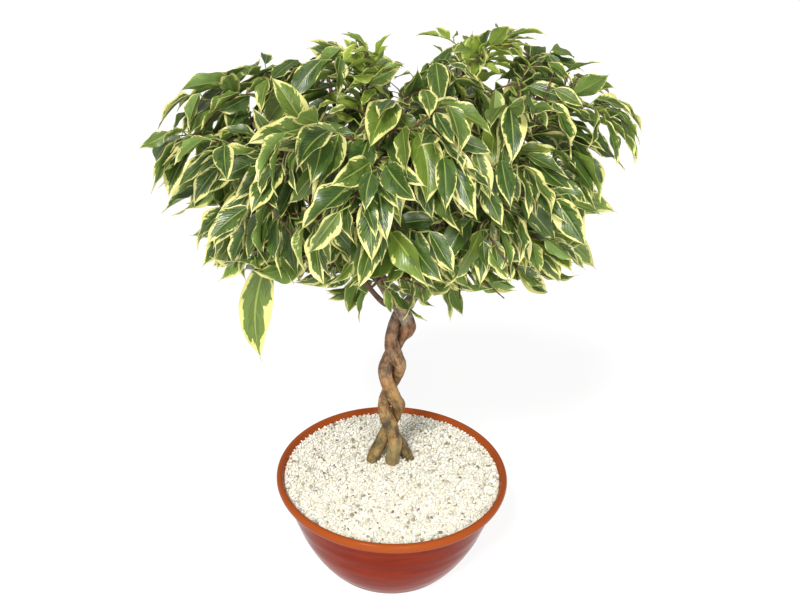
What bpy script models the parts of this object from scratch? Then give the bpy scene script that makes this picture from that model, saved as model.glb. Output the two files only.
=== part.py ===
"""Bonsai weeping fig in a bowl.

Two slender stems are twisted round each other into one trunk. They part under the crown, carry ten
branches, and the branches carry leafy shoots. The tree is rooted in potting soil under a layer of
white gravel, in a glazed terracotta bowl. Units are metres, +Z is up, and the origin is the centre
of the bowl's base.
"""

import math
import random

import bmesh
import bpy
from mathutils import Vector
from mathutils.bvhtree import BVHTree

# Driving dimensions ---------------------------------------------------------------------------
RIM_RADIUS = 0.120
BASE_RADIUS = 0.070
BOWL_HEIGHT = 0.105
WALL = 0.006
LIP_HEIGHT = 0.011
FLOOR = 0.009
FIT_GAP = 0.0003
WALL_CLEARANCE = 0.0018
TURN_STEPS = 40

GRAVEL_EDGE_Z = BOWL_HEIGHT - 0.004
GRAVEL_TOP_Z = BOWL_HEIGHT + 0.008
GRAVEL_BOTTOM_Z = BOWL_HEIGHT - 0.014

TRUNK_Y = 0.015
STRAND_RADIUS = 0.0067
STRAND_OFFSET = STRAND_RADIUS + 2.5 * FIT_GAP
HALF_TURN = 0.0435
FIRST_CROSSING_Z = 0.1525
TWIST_TOP_Z = 0.287
ROOT_END_Z = 0.084

BRANCHES_PER_STEM = 5
BRANCH_RADIUS = 0.0030
BRANCH_TIP_RADIUS = 0.0018
BRANCH_REACH = 0.60
BRANCH_FIRST_SHOOT = 3
LEADER_FIRST_SHOOT = 8

CROWN_CENTRE = Vector((-0.009, 0.008, 0.440))
CROWN_HALF = Vector((0.180, 0.144, 0.097))
LOWEST_LATITUDE = math.radians(-10.0)
SKIRT_COUNT = 11
SKIRT_REACH = 0.86
SKIRT_DROP = 0.038
SKIRT_SIDE_DROP = 0.030
LOWEST_TIP_Z = 0.316
LOWEST_TIP_SLOPE = 0.48
SHOOT_COUNT = 44
TWIG_RADIUS = 0.0013
TWIG_TIP_RADIUS = 0.0007
TWIG_SPAN = 0.072
SHORTEST_TWIG = 0.030

LEAF_SPACING = 0.0056
LEAF_LENGTH = 0.056
LEAF_WIDTH_RATIO = 0.45
LEAF_THICKNESS = 0.0009
LEAF_CLEARANCE = 0.0007
PETIOLE = 0.010
LEAF_TRIES = 14

SEED = 11
UP = Vector((0.0, 0.0, 1.0))
DOWN = Vector((0.0, 0.0, -1.0))
GOLDEN_ANGLE = math.pi * (3.0 - math.sqrt(5.0))

# The trunk's middle line leans slightly to the right near the top.
TRUNK_LINE = [(-0.001, 0.105), (-0.002, 0.152), (-0.004, 0.195), (-0.002, 0.238), (0.008, 0.287)]

# Root legs, from the first crossing down into the soil, and leaders, from the twist up into the crown.
CENTRE_LEG = [(0.0010, 0.0060, 0.140), (0.0015, 0.0040, 0.124), (0.0000, 0.0030, 0.106)]
RIGHT_LEG = [(0.0030, 0.0090, 0.141), (0.0110, 0.0120, 0.124), (0.0160, 0.0130, 0.106)]
LEFT_LEG = [(-0.0070, 0.0190, 0.140), (-0.0150, 0.0140, 0.124), (-0.0210, 0.0090, 0.106)]
RIGHT_LEADER = [(0.024, 0.026, 0.315), (0.043, 0.026, 0.360), (0.052, 0.018, 0.420), (0.048, 0.010, 0.462)]
LEFT_LEADER = [(-0.010, -0.002, 0.315), (-0.030, -0.010, 0.360), (-0.043, -0.006, 0.420),
               (-0.038, 0.008, 0.460)]

# Shoots that stand out of the crown's outline: twig tip, and whether the shoot is young.
STANDING_SHOOTS = [
    (Vector((-0.030, 0.020, 0.530)), True),
    (Vector((0.080, 0.020, 0.546)), True),
    (Vector((0.056, 0.060, 0.540)), True),
    (Vector((0.112, 0.050, 0.528)), False),
    (Vector((0.150, 0.010, 0.520)), False),
    (Vector((0.177, -0.005, 0.494)), False),
    (Vector((-0.190, -0.010, 0.458)), False),
    (Vector((-0.176, 0.000, 0.408)), False),
    (Vector((-0.150, 0.010, 0.500)), False),
    (Vector((-0.114, -0.060, 0.381)), False),
]
# The longest leaf hangs from the last of these shoots.
PENDANT_SHOOT = "shoot_10"
PENDANT_LENGTH = 0.090
PENDANT_WIDTH = 0.036
PENDANT_AXIS = Vector((-0.08, -0.02, -1.0))
PENDANT_FACE = Vector((0.1, -1.0, 0.1))
PENDANT_FOLD = 0.22
PENDANT_DROOP = 0.05


# Shared helpers -------------------------------------------------------------------------------
def clear_scene():
    """Removes every object, so that the file starts empty."""
    for item in list(bpy.data.objects):
        bpy.data.objects.remove(item, do_unlink=True)


def collection(name):
    """A new collection linked into the scene."""
    group = bpy.data.collections.new(name)
    bpy.context.scene.collection.children.link(group)
    return group


def material(name, colour, roughness, metallic=0.0):
    """A plain Principled BSDF finish."""
    finish = bpy.data.materials.new(name)
    finish.use_nodes = True
    shader = finish.node_tree.nodes["Principled BSDF"]
    shader.inputs["Base Color"].default_value = (*colour, 1.0)
    shader.inputs["Roughness"].default_value = roughness
    shader.inputs["Metallic"].default_value = metallic
    return finish


def add_object(name, mesh, group, finish):
    """An object made from a mesh, in a collection, with its material."""
    item = bpy.data.objects.new(name, mesh)
    mesh.materials.clear()
    mesh.materials.append(finish)
    group.objects.link(item)
    return item


def mesh_of(bm, name):
    """A mesh made from a bmesh, which is freed."""
    bmesh.ops.recalc_face_normals(bm, faces=bm.faces)
    mesh = bpy.data.meshes.new(name)
    bm.to_mesh(mesh)
    bm.free()
    return mesh


def as_guide(item):
    """Marks an object as a cutter or guide, which isn't part of the tree."""
    item.hide_render = True
    item.display_type = "WIRE"


def boolean(item, operand, operation):
    """A live Boolean of one object with another."""
    modifier = item.modifiers.new(operand.name, "BOOLEAN")
    modifier.object = operand
    modifier.operation = operation
    modifier.solver = "EXACT"


def spline_points(knots, per_span):
    """Points along a Catmull-Rom curve through the knots."""
    line = [2 * knots[0] - knots[1], *knots, 2 * knots[-1] - knots[-2]]
    points = []
    for a, b, c, d in zip(line, line[1:], line[2:], line[3:]):
        for step in range(per_span):
            t = step / per_span
            points.append(0.5 * (2 * b + (c - a) * t + (2 * a - 5 * b + 4 * c - d) * t ** 2
                                 + (3 * b - a - 3 * c + d) * t ** 3))
    points.append(knots[-1].copy())
    return points


def tube_mesh(name, points, radii, bevel_resolution):
    """A closed tube along the points, made by a bevelled curve whose caps are welded."""
    curve = bpy.data.curves.new(name, "CURVE")
    curve.dimensions = "3D"
    curve.bevel_depth = 1.0
    curve.bevel_resolution = bevel_resolution
    curve.use_fill_caps = True
    spline = curve.splines.new("POLY")
    spline.points.add(len(points) - 1)
    for knot, point, radius in zip(spline.points, points, radii):
        knot.co = (*point, 1.0)
        knot.radius = radius
    holder = bpy.data.objects.new(name, curve)
    bpy.context.scene.collection.objects.link(holder)
    evaluated = holder.evaluated_get(bpy.context.evaluated_depsgraph_get())
    mesh = bpy.data.meshes.new_from_object(evaluated)
    bpy.data.objects.remove(holder, do_unlink=True)
    bpy.data.curves.remove(curve)
    bm = bmesh.new()
    bm.from_mesh(mesh)
    bmesh.ops.remove_doubles(bm, verts=bm.verts, dist=1e-6)
    bpy.data.meshes.remove(mesh)
    return mesh_of(bm, name)


def taper(start, end, count, power=1.0):
    """Radii that go from start to end over count points."""
    return [start + (end - start) * (i / (count - 1)) ** power for i in range(count)]


def turned_mesh(profile):
    """The open profile, listed from the axis round the outside and back to the axis."""
    bm = bmesh.new()
    verts = [bm.verts.new((radius, 0.0, height)) for radius, height in profile]
    for a, b in zip(verts, verts[1:]):
        bm.edges.new((a, b))
    mesh = bpy.data.meshes.new("profile")
    bm.to_mesh(mesh)
    bm.free()
    return mesh


def turned(name, profile, steps, group, finish):
    """A solid of revolution about Z."""
    item = add_object(name, turned_mesh(profile), group, finish)
    screw = item.modifiers.new("turn", "SCREW")
    screw.steps = steps
    screw.render_steps = steps
    screw.use_merge_vertices = True
    screw.merge_threshold = 1e-5
    screw.use_smooth_shade = True
    return item


# Space already taken --------------------------------------------------------------------------
class Occupied:
    """Everything grown so far, kept as search trees, so that new growth stays clear of it."""

    def __init__(self):
        self.entries = []

    def add(self, vertices, faces, owner):
        """Adds one closed mesh under its owner's name."""
        centre = sum(vertices, Vector()) / len(vertices)
        reach = max((v - centre).length for v in vertices)
        self.entries.append((centre, reach, BVHTree.FromPolygons(vertices, faces), owner))

    def add_mesh(self, mesh, owner):
        """Adds a Blender mesh."""
        self.add([v.co.copy() for v in mesh.vertices], [tuple(f.vertices) for f in mesh.polygons], owner)

    def line_is_clear(self, points, clearance, host):
        """Whether every point stays the clearance away from everything, but for the start near its host."""
        for centre, reach, tree, owner in self.entries:
            for point in points[2:] if owner == host else points:
                if (point - centre).length > reach + clearance:
                    continue
                if tree.find_nearest(point, clearance)[0] is not None:
                    return False
        return True

    def solid_is_clear(self, vertices, faces, owner):
        """Whether a closed mesh crosses nothing that has another owner."""
        centre = sum(vertices, Vector()) / len(vertices)
        reach = max((v - centre).length for v in vertices)
        shape = None
        for other_centre, other_reach, tree, other_owner in self.entries:
            if other_owner == owner or (centre - other_centre).length > reach + other_reach:
                continue
            if shape is None:
                shape = BVHTree.FromPolygons(vertices, faces)
            if shape.overlap(tree):
                return False
        return True


# Leaf -----------------------------------------------------------------------------------------
class Leaf:
    """One leaf: a stalk from the twig, and a blade that is folded along its midrib and droops."""

    SECTIONS = (0.30, 0.68)
    WIDTHS = (1.0, 0.80)

    def __init__(self, root, stalk_direction, axis, normal, length, width, fold, droop):
        self.root = root
        self.base = root + stalk_direction * PETIOLE
        self.axis = axis
        self.side = axis.cross(normal).normalized()
        self.normal = self.side.cross(axis).normalized()
        self.length = length
        self.width = width
        self.fold = fold
        self.droop = droop

    def midrib(self, t):
        """The point a fraction t along the blade's midrib."""
        return self.base + self.length * (self.axis * t - self.normal * self.droop * t * t)

    def solid(self, spare=0.0):
        """Vertices and faces of the closed leaf: a point in the twig, two sections and the tip.

        A leaf made with spare room is wider, thicker and longer by it.
        """
        vertices = [self.root.copy()]
        for t, share in zip(self.SECTIONS, self.WIDTHS):
            middle = self.midrib(t)
            half = self.side * (self.width * 0.5 * share + 1.5 * spare)
            lift = self.normal * (self.width * 0.5 * share * self.fold + 0.5 * LEAF_THICKNESS + 0.4 * spare)
            keel = self.normal * (0.5 * LEAF_THICKNESS + spare)
            vertices += [middle - half + lift, middle + half + lift, middle - keel]
        vertices.append(self.midrib(1.0 + 2.0 * spare / self.length))
        faces = [(0, 2, 1), (0, 3, 2), (0, 1, 3), (7, 4, 5), (7, 5, 6), (7, 6, 4)]
        for a, b in ((1, 2), (2, 3), (3, 1)):
            faces += [(a, b, b + 3), (a, b + 3, a + 3)]
        return vertices, faces


# Bowl, soil and gravel ------------------------------------------------------------------------
def inner_radius(height):
    """The bowl's inner radius at a height."""
    share = (height - FLOOR) / (BOWL_HEIGHT - FLOOR)
    return (BASE_RADIUS - 0.006) + (RIM_RADIUS - WALL - BASE_RADIUS + 0.006) * share ** 0.62


def build_bowl(group):
    """The glazed terracotta bowl, with a rounded lip and a flat base."""
    levels = [0.18, 0.45, 0.75]
    inside = [(inner_radius(FLOOR + (BOWL_HEIGHT - FLOOR) * s), FLOOR + (BOWL_HEIGHT - FLOOR) * s)
              for s in levels]
    lip = [
        (RIM_RADIUS - WALL, BOWL_HEIGHT - 0.0022),
        (RIM_RADIUS - 0.0045, BOWL_HEIGHT),
        (RIM_RADIUS - 0.0020, BOWL_HEIGHT - 0.0010),
        (RIM_RADIUS, BOWL_HEIGHT - 0.0045),
        (RIM_RADIUS - 0.0010, BOWL_HEIGHT - 0.0090),
        (RIM_RADIUS - 0.0050, BOWL_HEIGHT - LIP_HEIGHT),
    ]
    outside = [(0.1100, 0.085), (0.1040, 0.065), (0.0970, 0.045), (0.0890, 0.027), (0.0800, 0.012),
               (BASE_RADIUS + 0.002, 0.0015), (BASE_RADIUS, 0.0)]
    profile = [(0.0, FLOOR), (inner_radius(FLOOR), FLOOR), *inside, *lip, *outside, (0.0, 0.0)]
    finish = material("glazed_terracotta", (0.42, 0.055, 0.022), 0.25)
    return turned("pot", profile, TURN_STEPS, group, finish)


def build_soil(group):
    """The potting soil under the gravel."""
    top = GRAVEL_BOTTOM_Z - FIT_GAP
    bottom = FLOOR + FIT_GAP
    heights = [top - (top - bottom) * i / 4 for i in range(5)]
    wall = [(inner_radius(z) - WALL_CLEARANCE, z) for z in heights]
    profile = [(0.0, top), *wall, (0.0, bottom)]
    finish = material("potting_soil", (0.05, 0.032, 0.02), 0.95)
    return turned("soil", profile, TURN_STEPS, group, finish)


def build_gravel(group):
    """The layer of white gravel, slightly mounded round the trunk."""
    edge = inner_radius(GRAVEL_EDGE_Z) - WALL_CLEARANCE
    mound = [(edge * (1.0 - i / 4), GRAVEL_EDGE_Z + (GRAVEL_TOP_Z - GRAVEL_EDGE_Z)
              * math.sin(0.5 * math.pi * i / 4)) for i in range(4, -1, -1)]
    low_edge = inner_radius(GRAVEL_BOTTOM_Z) - WALL_CLEARANCE
    profile = [*mound, (low_edge, GRAVEL_BOTTOM_Z), (0.0, GRAVEL_BOTTOM_Z)]
    finish = material("white_gravel", (0.80, 0.76, 0.66), 0.7)
    return turned("gravel", profile, TURN_STEPS, group, finish)


# Trunk ----------------------------------------------------------------------------------------
def trunk_axis(height):
    """The point on the trunk's middle line at a height."""
    for (x0, z0), (x1, z1) in zip(TRUNK_LINE, TRUNK_LINE[1:]):
        if height <= z1:
            break
    t = (height - z0) / (z1 - z0)
    smooth = t * t * (3.0 - 2.0 * t)
    return Vector((x0 + (x1 - x0) * smooth, TRUNK_Y, height))


def strand_point(height, turn):
    """The middle of a strand at a height; turn is 0 for one strand and pi for the other."""
    phase = -0.5 * math.pi - math.pi * (height - FIRST_CROSSING_Z) / HALF_TURN + turn
    return trunk_axis(height) + STRAND_OFFSET * Vector((math.cos(phase), math.sin(phase), 0.0))


def root_end(leg):
    """The leg's last point, straight on into the soil."""
    last, before = Vector(leg[-1]), Vector(leg[-2])
    slope = (last - before) / (before.z - last.z)
    return last + slope * (last.z - ROOT_END_Z)


def stem_path(leg, leader, turn):
    """A stem's middle line: root leg, helix and leader."""
    top = strand_point(TWIST_TOP_Z, turn)
    above = spline_points([strand_point(TWIST_TOP_Z - 0.004, turn), top, *[Vector(p) for p in leader]], 4)
    levels = 24
    helix = [strand_point(FIRST_CROSSING_Z + (TWIST_TOP_Z - FIRST_CROSSING_Z) * i / levels, turn)
             for i in range(levels + 1)]
    feet = [root_end(leg), *[Vector(p) for p in reversed(leg)], helix[0], helix[1]]
    below = spline_points(feet, 3)[:-4]
    return below, helix, above[5:]


def build_stem(name, leg, side_legs, leader, turn, group, finish, occupied):
    """One stem of the trunk, with its root legs joined on.

    Gives the stem's leader as a host for branches, and the lines of its legs for their sockets.
    """
    below, helix, above = stem_path(leg, leader, turn)
    points = below + helix + above
    radii = taper(STRAND_RADIUS * 0.98, STRAND_RADIUS, len(below)) + [STRAND_RADIUS] * len(helix)
    radii += taper(STRAND_RADIUS * 0.93, STRAND_RADIUS * 0.30, len(above))
    stem = add_object(name, tube_mesh(name, points, radii, 3), group, finish)
    legs = [(points[:len(below)], radii[:len(below)])]
    for number, side_leg in enumerate(side_legs):
        start = points[len(below)]
        knots = [start, *[Vector(p) for p in side_leg], root_end(side_leg)]
        side = spline_points(knots, 3)
        side_radii = taper(STRAND_RADIUS * 0.72, STRAND_RADIUS * 0.80, len(side))
        root = add_object(f"{name}_root_{number}", tube_mesh("root", side, side_radii, 3), guides, finish)
        as_guide(root)
        boolean(stem, root, "UNION")
        legs.append((side[::-1], side_radii[::-1]))
    occupied.add_mesh(stem.data, name)
    return Host(name, above, radii[-len(above):], LEADER_FIRST_SHOOT), legs


def cut_sockets(layers, legs, group, finish):
    """Cuts the holes that the root legs stand in, a fitting gap wider than the legs."""
    for number, (points, radii) in enumerate(legs):
        end = points[0] + (points[0] - points[1]).normalized() * 2 * FIT_GAP
        path = [end, *points[1:]]
        wide = [radius + 2 * FIT_GAP for radius in radii]
        cutter = add_object(f"socket_{number}", tube_mesh("socket", path, wide, 3), group, finish)
        as_guide(cutter)
        for layer in layers:
            boolean(layer, cutter, "DIFFERENCE")


# Crown ----------------------------------------------------------------------------------------
def frame_at(points, index):
    """The direction of a path at one of its points."""
    low = max(index - 1, 0)
    high = min(index + 1, len(points) - 1)
    return (points[high] - points[low]).normalized()


class Host:
    """A stem or branch that shoots can start from."""

    def __init__(self, name, points, radii, first):
        self.name = name
        self.points = points
        self.radii = radii
        self.first = first

    def child_line(self, index, target, child_radius, rise, steps):
        """A child tube's line: square off the host's surface, then in an arch to the target."""
        origin = self.points[index]
        along = frame_at(self.points, index)
        reach = target - origin
        across = reach - along * reach.dot(along)
        if index == len(self.points) - 1 and reach.normalized().dot(along) > 0.8:
            start = origin + along * 2 * FIT_GAP
            heading = along
        else:
            if across.length < 0.004:
                return None
            across.normalize()
            heading = (across + along * 0.4).normalized()
            start = origin + across * (self.radii[index] + 2 * FIT_GAP + 0.5 * child_radius)
        span = (target - start).length
        bend = start + heading * 0.4 * span + UP * rise * span
        points = []
        for i in range(steps + 1):
            t = i / steps
            points.append(start * (1 - t) ** 2 + bend * 2 * t * (1 - t) + target * t * t)
        return points


def build_branches(stems, group, finish, occupied):
    """Ten branches, spread round the crown in two tiers."""
    hosts = []
    count = BRANCHES_PER_STEM * len(stems)
    for number in range(count):
        azimuth = math.tau * (number + 0.5) / count
        tier = 1.0 if number % 2 else -0.25
        target = CROWN_CENTRE + BRANCH_REACH * Vector((
            CROWN_HALF.x * math.cos(azimuth), CROWN_HALF.y * math.sin(azimuth), CROWN_HALF.z * tier))
        stem = stems[0] if math.cos(azimuth) > 0 else stems[1]
        share = 0.55 if tier > 0 else 0.16
        share += 0.07 * math.sin(azimuth * 3.0)
        index = round(share * (len(stem.points) - 1))
        for shift in (0, 1, -1, 2, -2, 3):
            points = stem.child_line(index + shift, target, BRANCH_RADIUS, 0.06, 6)
            if points and occupied.line_is_clear(points, BRANCH_RADIUS + 2 * FIT_GAP, stem.name):
                break
        radii = taper(BRANCH_RADIUS, BRANCH_TIP_RADIUS, len(points))
        name = f"branch_{number + 1:02d}"
        branch = add_object(name, tube_mesh(name, points, radii, 1), group, finish)
        occupied.add_mesh(branch.data, name)
        hosts.append(Host(name, points, radii, BRANCH_FIRST_SHOOT))
    return hosts


def shoot_tips(rng):
    """Where the twigs end: the standing shoots, a skirt of low ones, and a spiral over the crown."""
    tips = list(STANDING_SHOOTS)
    for i in range(SKIRT_COUNT):
        azimuth = math.tau * (i + 0.25) / SKIRT_COUNT
        reach = SKIRT_REACH * rng.uniform(0.90, 1.02)
        drop = SKIRT_DROP + SKIRT_SIDE_DROP * math.cos(2 * azimuth) + rng.uniform(-0.006, 0.006)
        tips.append((CROWN_CENTRE + Vector((CROWN_HALF.x * reach * math.cos(azimuth),
                                            CROWN_HALF.y * reach * math.sin(azimuth), -drop)), False))
    spread = SHOOT_COUNT - len(tips)
    low = math.sin(LOWEST_LATITUDE)
    for i in range(spread):
        sine = 1.0 - (i + 0.5) / spread * (1.0 - low)
        cosine = math.sqrt(1.0 - sine * sine)
        azimuth = i * GOLDEN_ANGLE
        size = rng.uniform(0.86, 1.04)
        tips.append((CROWN_CENTRE + size * Vector((CROWN_HALF.x * cosine * math.cos(azimuth),
                                                   CROWN_HALF.y * cosine * math.sin(azimuth),
                                                   CROWN_HALF.z * sine)), False))
    return tips


def find_twig(tip, hosts, occupied, rng):
    """The twig's line from the best free place on a branch or leader to its tip."""
    options = []
    for host in hosts:
        for index in range(host.first, len(host.points)):
            distance = (host.points[index] - tip).length
            options.append((abs(distance - TWIG_SPAN), host, index))
    options.sort(key=lambda option: option[0])
    for _, host, index in options[:60]:
        points = host.child_line(index, tip, TWIG_RADIUS, rng.uniform(0.03, 0.12), 4)
        if points is None or (points[0] - tip).length < SHORTEST_TWIG:
            continue
        fine = [a.lerp(b, s / 4) for a, b in zip(points, points[1:]) for s in range(4)] + [points[-1]]
        if occupied.line_is_clear(fine, TWIG_RADIUS + 3 * FIT_GAP, host.name):
            return points
    return None


def crown_outward(point):
    """The crown's outward direction at a point, and its level part."""
    offset = point - CROWN_CENTRE
    outward = Vector([offset[k] / CROWN_HALF[k] ** 2 for k in range(3)]).normalized()
    level = Vector((offset.x, offset.y, 0.0))
    level = level.normalized() if level.length > 1e-4 else Vector((1.0, 0.0, 0.0))
    return outward, level


def random_vector(rng):
    """A random direction with a length under about one."""
    return Vector((rng.gauss(0.0, 0.5), rng.gauss(0.0, 0.5), rng.gauss(0.0, 0.5)))


def try_leaf(point, along, number, young, attempt, rng):
    """One candidate leaf at a point of a twig."""
    outward, level = crown_outward(point)
    level_side = along.cross(UP)
    level_side = level_side.normalized() if level_side.length > 0.1 else level.cross(UP)
    side = level_side if number % 2 else -level_side
    stray = 0.40 + 0.05 * attempt
    stalk = (side * 0.8 + along * 0.5 + outward * 0.3 + random_vector(rng) * stray).normalized()
    hang = 0.25 if young else rng.uniform(0.55, 1.15)
    axis = side * 0.45 + along * 0.40 + level * 0.45 + DOWN * hang + random_vector(rng) * stray
    axis = axis.normalized()
    normal = (outward + UP * 0.25 + random_vector(rng) * (0.35 + 0.04 * attempt)).normalized()
    if abs(normal.dot(axis)) > 0.94:
        normal = side.cross(axis)
    size = (0.62 if young else 1.0) * rng.uniform(0.80, 1.16) * (1.0 - 0.02 * attempt)
    length = LEAF_LENGTH * size
    width = length * LEAF_WIDTH_RATIO * rng.uniform(0.88, 1.12)
    return Leaf(point, stalk, axis, normal, length, width, rng.uniform(0.10, 0.34), rng.uniform(0.05, 0.22))


def grow_leaves(points, young, name, occupied, rng):
    """The leaves of one shoot, alternating along its twig and clear of everything else."""
    leaves = []
    if name == PENDANT_SHOOT:
        hanging = Leaf(points[-1], DOWN, PENDANT_AXIS.normalized(), PENDANT_FACE,
                       PENDANT_LENGTH, PENDANT_WIDTH, PENDANT_FOLD, PENDANT_DROOP)
        leaves.append(hanging)
        occupied.add(*hanging.solid(), f"{name}_pendant")
    lengths = [(b - a).length for a, b in zip(points, points[1:])]
    total = sum(lengths)
    spacing = LEAF_SPACING * (0.75 if young else 1.0)
    distance = max(total * 0.22, 0.012)
    number = 0
    while distance < total:
        rest = distance
        index = 0
        while rest > lengths[index]:
            rest -= lengths[index]
            index += 1
        point = points[index].lerp(points[index + 1], rest / lengths[index])
        along = (points[index + 1] - points[index]).normalized()
        for attempt in range(LEAF_TRIES):
            leaf = try_leaf(point, along, number, young, attempt, rng)
            test_vertices, faces = leaf.solid(LEAF_CLEARANCE)
            tip = leaf.midrib(1.0)
            if tip.z < LOWEST_TIP_Z + LOWEST_TIP_SLOPE * abs(tip.y):
                continue
            if occupied.solid_is_clear(test_vertices, faces, name):
                leaves.append(leaf)
                occupied.add(leaf.solid()[0], faces, f"{name}_{number}")
                break
        distance += spacing
        number += 1
    return leaves


def build_shoots(hosts, group, leaf_finish, occupied, rng):
    """Every leafy shoot: its twig and leaves, joined into one solid."""
    twigs = []
    for number, (tip, young) in enumerate(shoot_tips(rng)):
        points = find_twig(tip, hosts, occupied, rng)
        if points is None:
            continue
        name = f"shoot_{number + 1:02d}"
        mesh = tube_mesh(name, points, taper(TWIG_RADIUS, TWIG_TIP_RADIUS, len(points)), 1)
        occupied.add_mesh(mesh, name)
        twigs.append((name, mesh, points, young))
    for name, mesh, points, young in twigs:
        leaves = grow_leaves(points, young, name, occupied, rng)
        shoot = add_object(name, mesh, group, leaf_finish)
        foliage = bmesh.new()
        for leaf in leaves:
            vertices, faces = leaf.solid()
            verts = [foliage.verts.new(v) for v in vertices]
            for face in faces:
                foliage.faces.new([verts[i] for i in face])
        leaf_object = add_object(f"{name}_leaves", mesh_of(foliage, name), guides, leaf_finish)
        as_guide(leaf_object)
        boolean(shoot, leaf_object, "UNION")


# The whole object -----------------------------------------------------------------------------
def main():
    """Builds the bowl, the growing layers and the tree."""
    rng = random.Random(SEED)
    occupied = Occupied()
    bark = material("bark", (0.24, 0.15, 0.07), 0.8)
    foliage = material("leaves", (0.10, 0.22, 0.05), 0.4)
    build_bowl(parts)
    soil = build_soil(parts)
    gravel = build_gravel(parts)
    right, right_legs = build_stem(
        "stem_1", CENTRE_LEG, [RIGHT_LEG], RIGHT_LEADER, 0.0, parts, bark, occupied)
    left, left_legs = build_stem(
        "stem_2", LEFT_LEG, [], LEFT_LEADER, math.pi, parts, bark, occupied)
    cut_sockets([soil, gravel], right_legs + left_legs, guides, bark)
    leaders = [right, left]
    branches = build_branches(leaders, parts, bark, occupied)
    build_shoots(branches + leaders, parts, foliage, occupied, rng)


clear_scene()
parts = collection("bonsai_fig")
guides = collection("cutters_and_guides")
main()
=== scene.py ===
"""Bonsai weeping fig in a bowl: the looks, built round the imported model.

The tree is grown again by the same rules as the solid model, so each detailed stem, branch and leaf
lies where its solid lies. Thin curved leaves, bark, loose stones and glaze are then made over it.
Units are metres, +Z is up.
"""

from __future__ import annotations

import logging
import math
import random
from dataclasses import dataclass, field
from enum import Enum
from typing import Iterable, Sequence

import bmesh
import bpy
import numpy as np
from mathutils import Matrix, Vector, noise
from mathutils.bvhtree import BVHTree


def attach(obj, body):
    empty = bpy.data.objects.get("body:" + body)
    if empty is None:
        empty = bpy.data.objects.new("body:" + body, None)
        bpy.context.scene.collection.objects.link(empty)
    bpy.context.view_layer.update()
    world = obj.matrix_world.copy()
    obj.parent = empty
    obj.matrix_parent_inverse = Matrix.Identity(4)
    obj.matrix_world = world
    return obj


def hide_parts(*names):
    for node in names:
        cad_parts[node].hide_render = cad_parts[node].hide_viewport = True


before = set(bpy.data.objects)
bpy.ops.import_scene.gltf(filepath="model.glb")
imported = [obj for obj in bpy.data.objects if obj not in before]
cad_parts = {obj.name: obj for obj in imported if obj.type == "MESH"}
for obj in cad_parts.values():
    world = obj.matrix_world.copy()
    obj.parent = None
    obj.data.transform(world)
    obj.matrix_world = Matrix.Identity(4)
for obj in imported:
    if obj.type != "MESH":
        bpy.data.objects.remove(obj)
LOG = logging.getLogger("bonsai")
UP = Vector((0.0, 0.0, 1.0))
DOWN = Vector((0.0, 0.0, -1.0))
GOLDEN_ANGLE = math.pi * (3.0 - math.sqrt(5.0))
Line = list[Vector]


# ---------------------------------------------------------------------------------------------
# Driving sizes, the same as the solid model's
# ---------------------------------------------------------------------------------------------
@dataclass(frozen=True)
class BowlSizes:
    """The bowl's main sizes, and the levels of what fills it."""

    rim_radius: float = 0.120
    base_radius: float = 0.070
    height: float = 0.105
    wall: float = 0.006
    lip_height: float = 0.011
    floor: float = 0.009
    gravel_edge_drop: float = 0.004
    gravel_mound: float = 0.008
    gravel_depth: float = 0.014

    def inner_radius(self, height: float) -> float:
        """The radius of the bowl's inner wall.

        Args:
            height: Height above the bowl's base.

        Returns:
            The radius in metres.
        """
        share = (height - self.floor) / (self.height - self.floor)
        narrow = self.base_radius - 0.006
        wide = self.rim_radius - self.wall
        return narrow + (wide - narrow) * share ** 0.62

    def gravel_height(self, radius: float) -> float:
        """The height of the gravel's surface at a distance from the bowl's axis.

        Args:
            radius: Distance from the axis.

        Returns:
            The height above the bowl's base.
        """
        edge = self.height - self.gravel_edge_drop
        top = self.height + self.gravel_mound
        inner = min(radius / self.inner_radius(edge), 1.0)
        return edge + (top - edge) * math.sin(0.5 * math.pi * (1.0 - inner))


@dataclass(frozen=True)
class TrunkSizes:
    """The two twisted stems, their root legs and their leaders."""

    y: float = 0.015
    strand_radius: float = 0.0067
    fit_gap: float = 0.0003
    half_turn: float = 0.0435
    first_crossing: float = 0.1525
    twist_top: float = 0.287
    root_end: float = 0.084
    middle_line: tuple = ((-0.001, 0.105), (-0.002, 0.152), (-0.004, 0.195), (-0.002, 0.238),
                          (0.008, 0.287))
    centre_leg: tuple = ((0.0010, 0.0060, 0.140), (0.0015, 0.0040, 0.124), (0.0000, 0.0030, 0.106))
    right_leg: tuple = ((0.0030, 0.0090, 0.141), (0.0110, 0.0120, 0.124), (0.0160, 0.0130, 0.106))
    left_leg: tuple = ((-0.0070, 0.0190, 0.140), (-0.0150, 0.0140, 0.124), (-0.0210, 0.0090, 0.106))
    right_leader: tuple = ((0.024, 0.026, 0.315), (0.043, 0.026, 0.360), (0.052, 0.018, 0.420),
                           (0.048, 0.010, 0.462))
    left_leader: tuple = ((-0.010, -0.002, 0.315), (-0.030, -0.010, 0.360), (-0.043, -0.006, 0.420),
                          (-0.038, 0.008, 0.460))
    leg_reaches: tuple = (0.0075, 0.0060, 0.0075)

    def legs_at_surface(self) -> list[tuple[Vector, float]]:
        """Middle and radius of each root leg where it goes into the gravel."""
        legs = (self.centre_leg, self.right_leg, self.left_leg)
        return [(Vector(leg[-1]), reach) for leg, reach in zip(legs, self.leg_reaches)]


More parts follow.
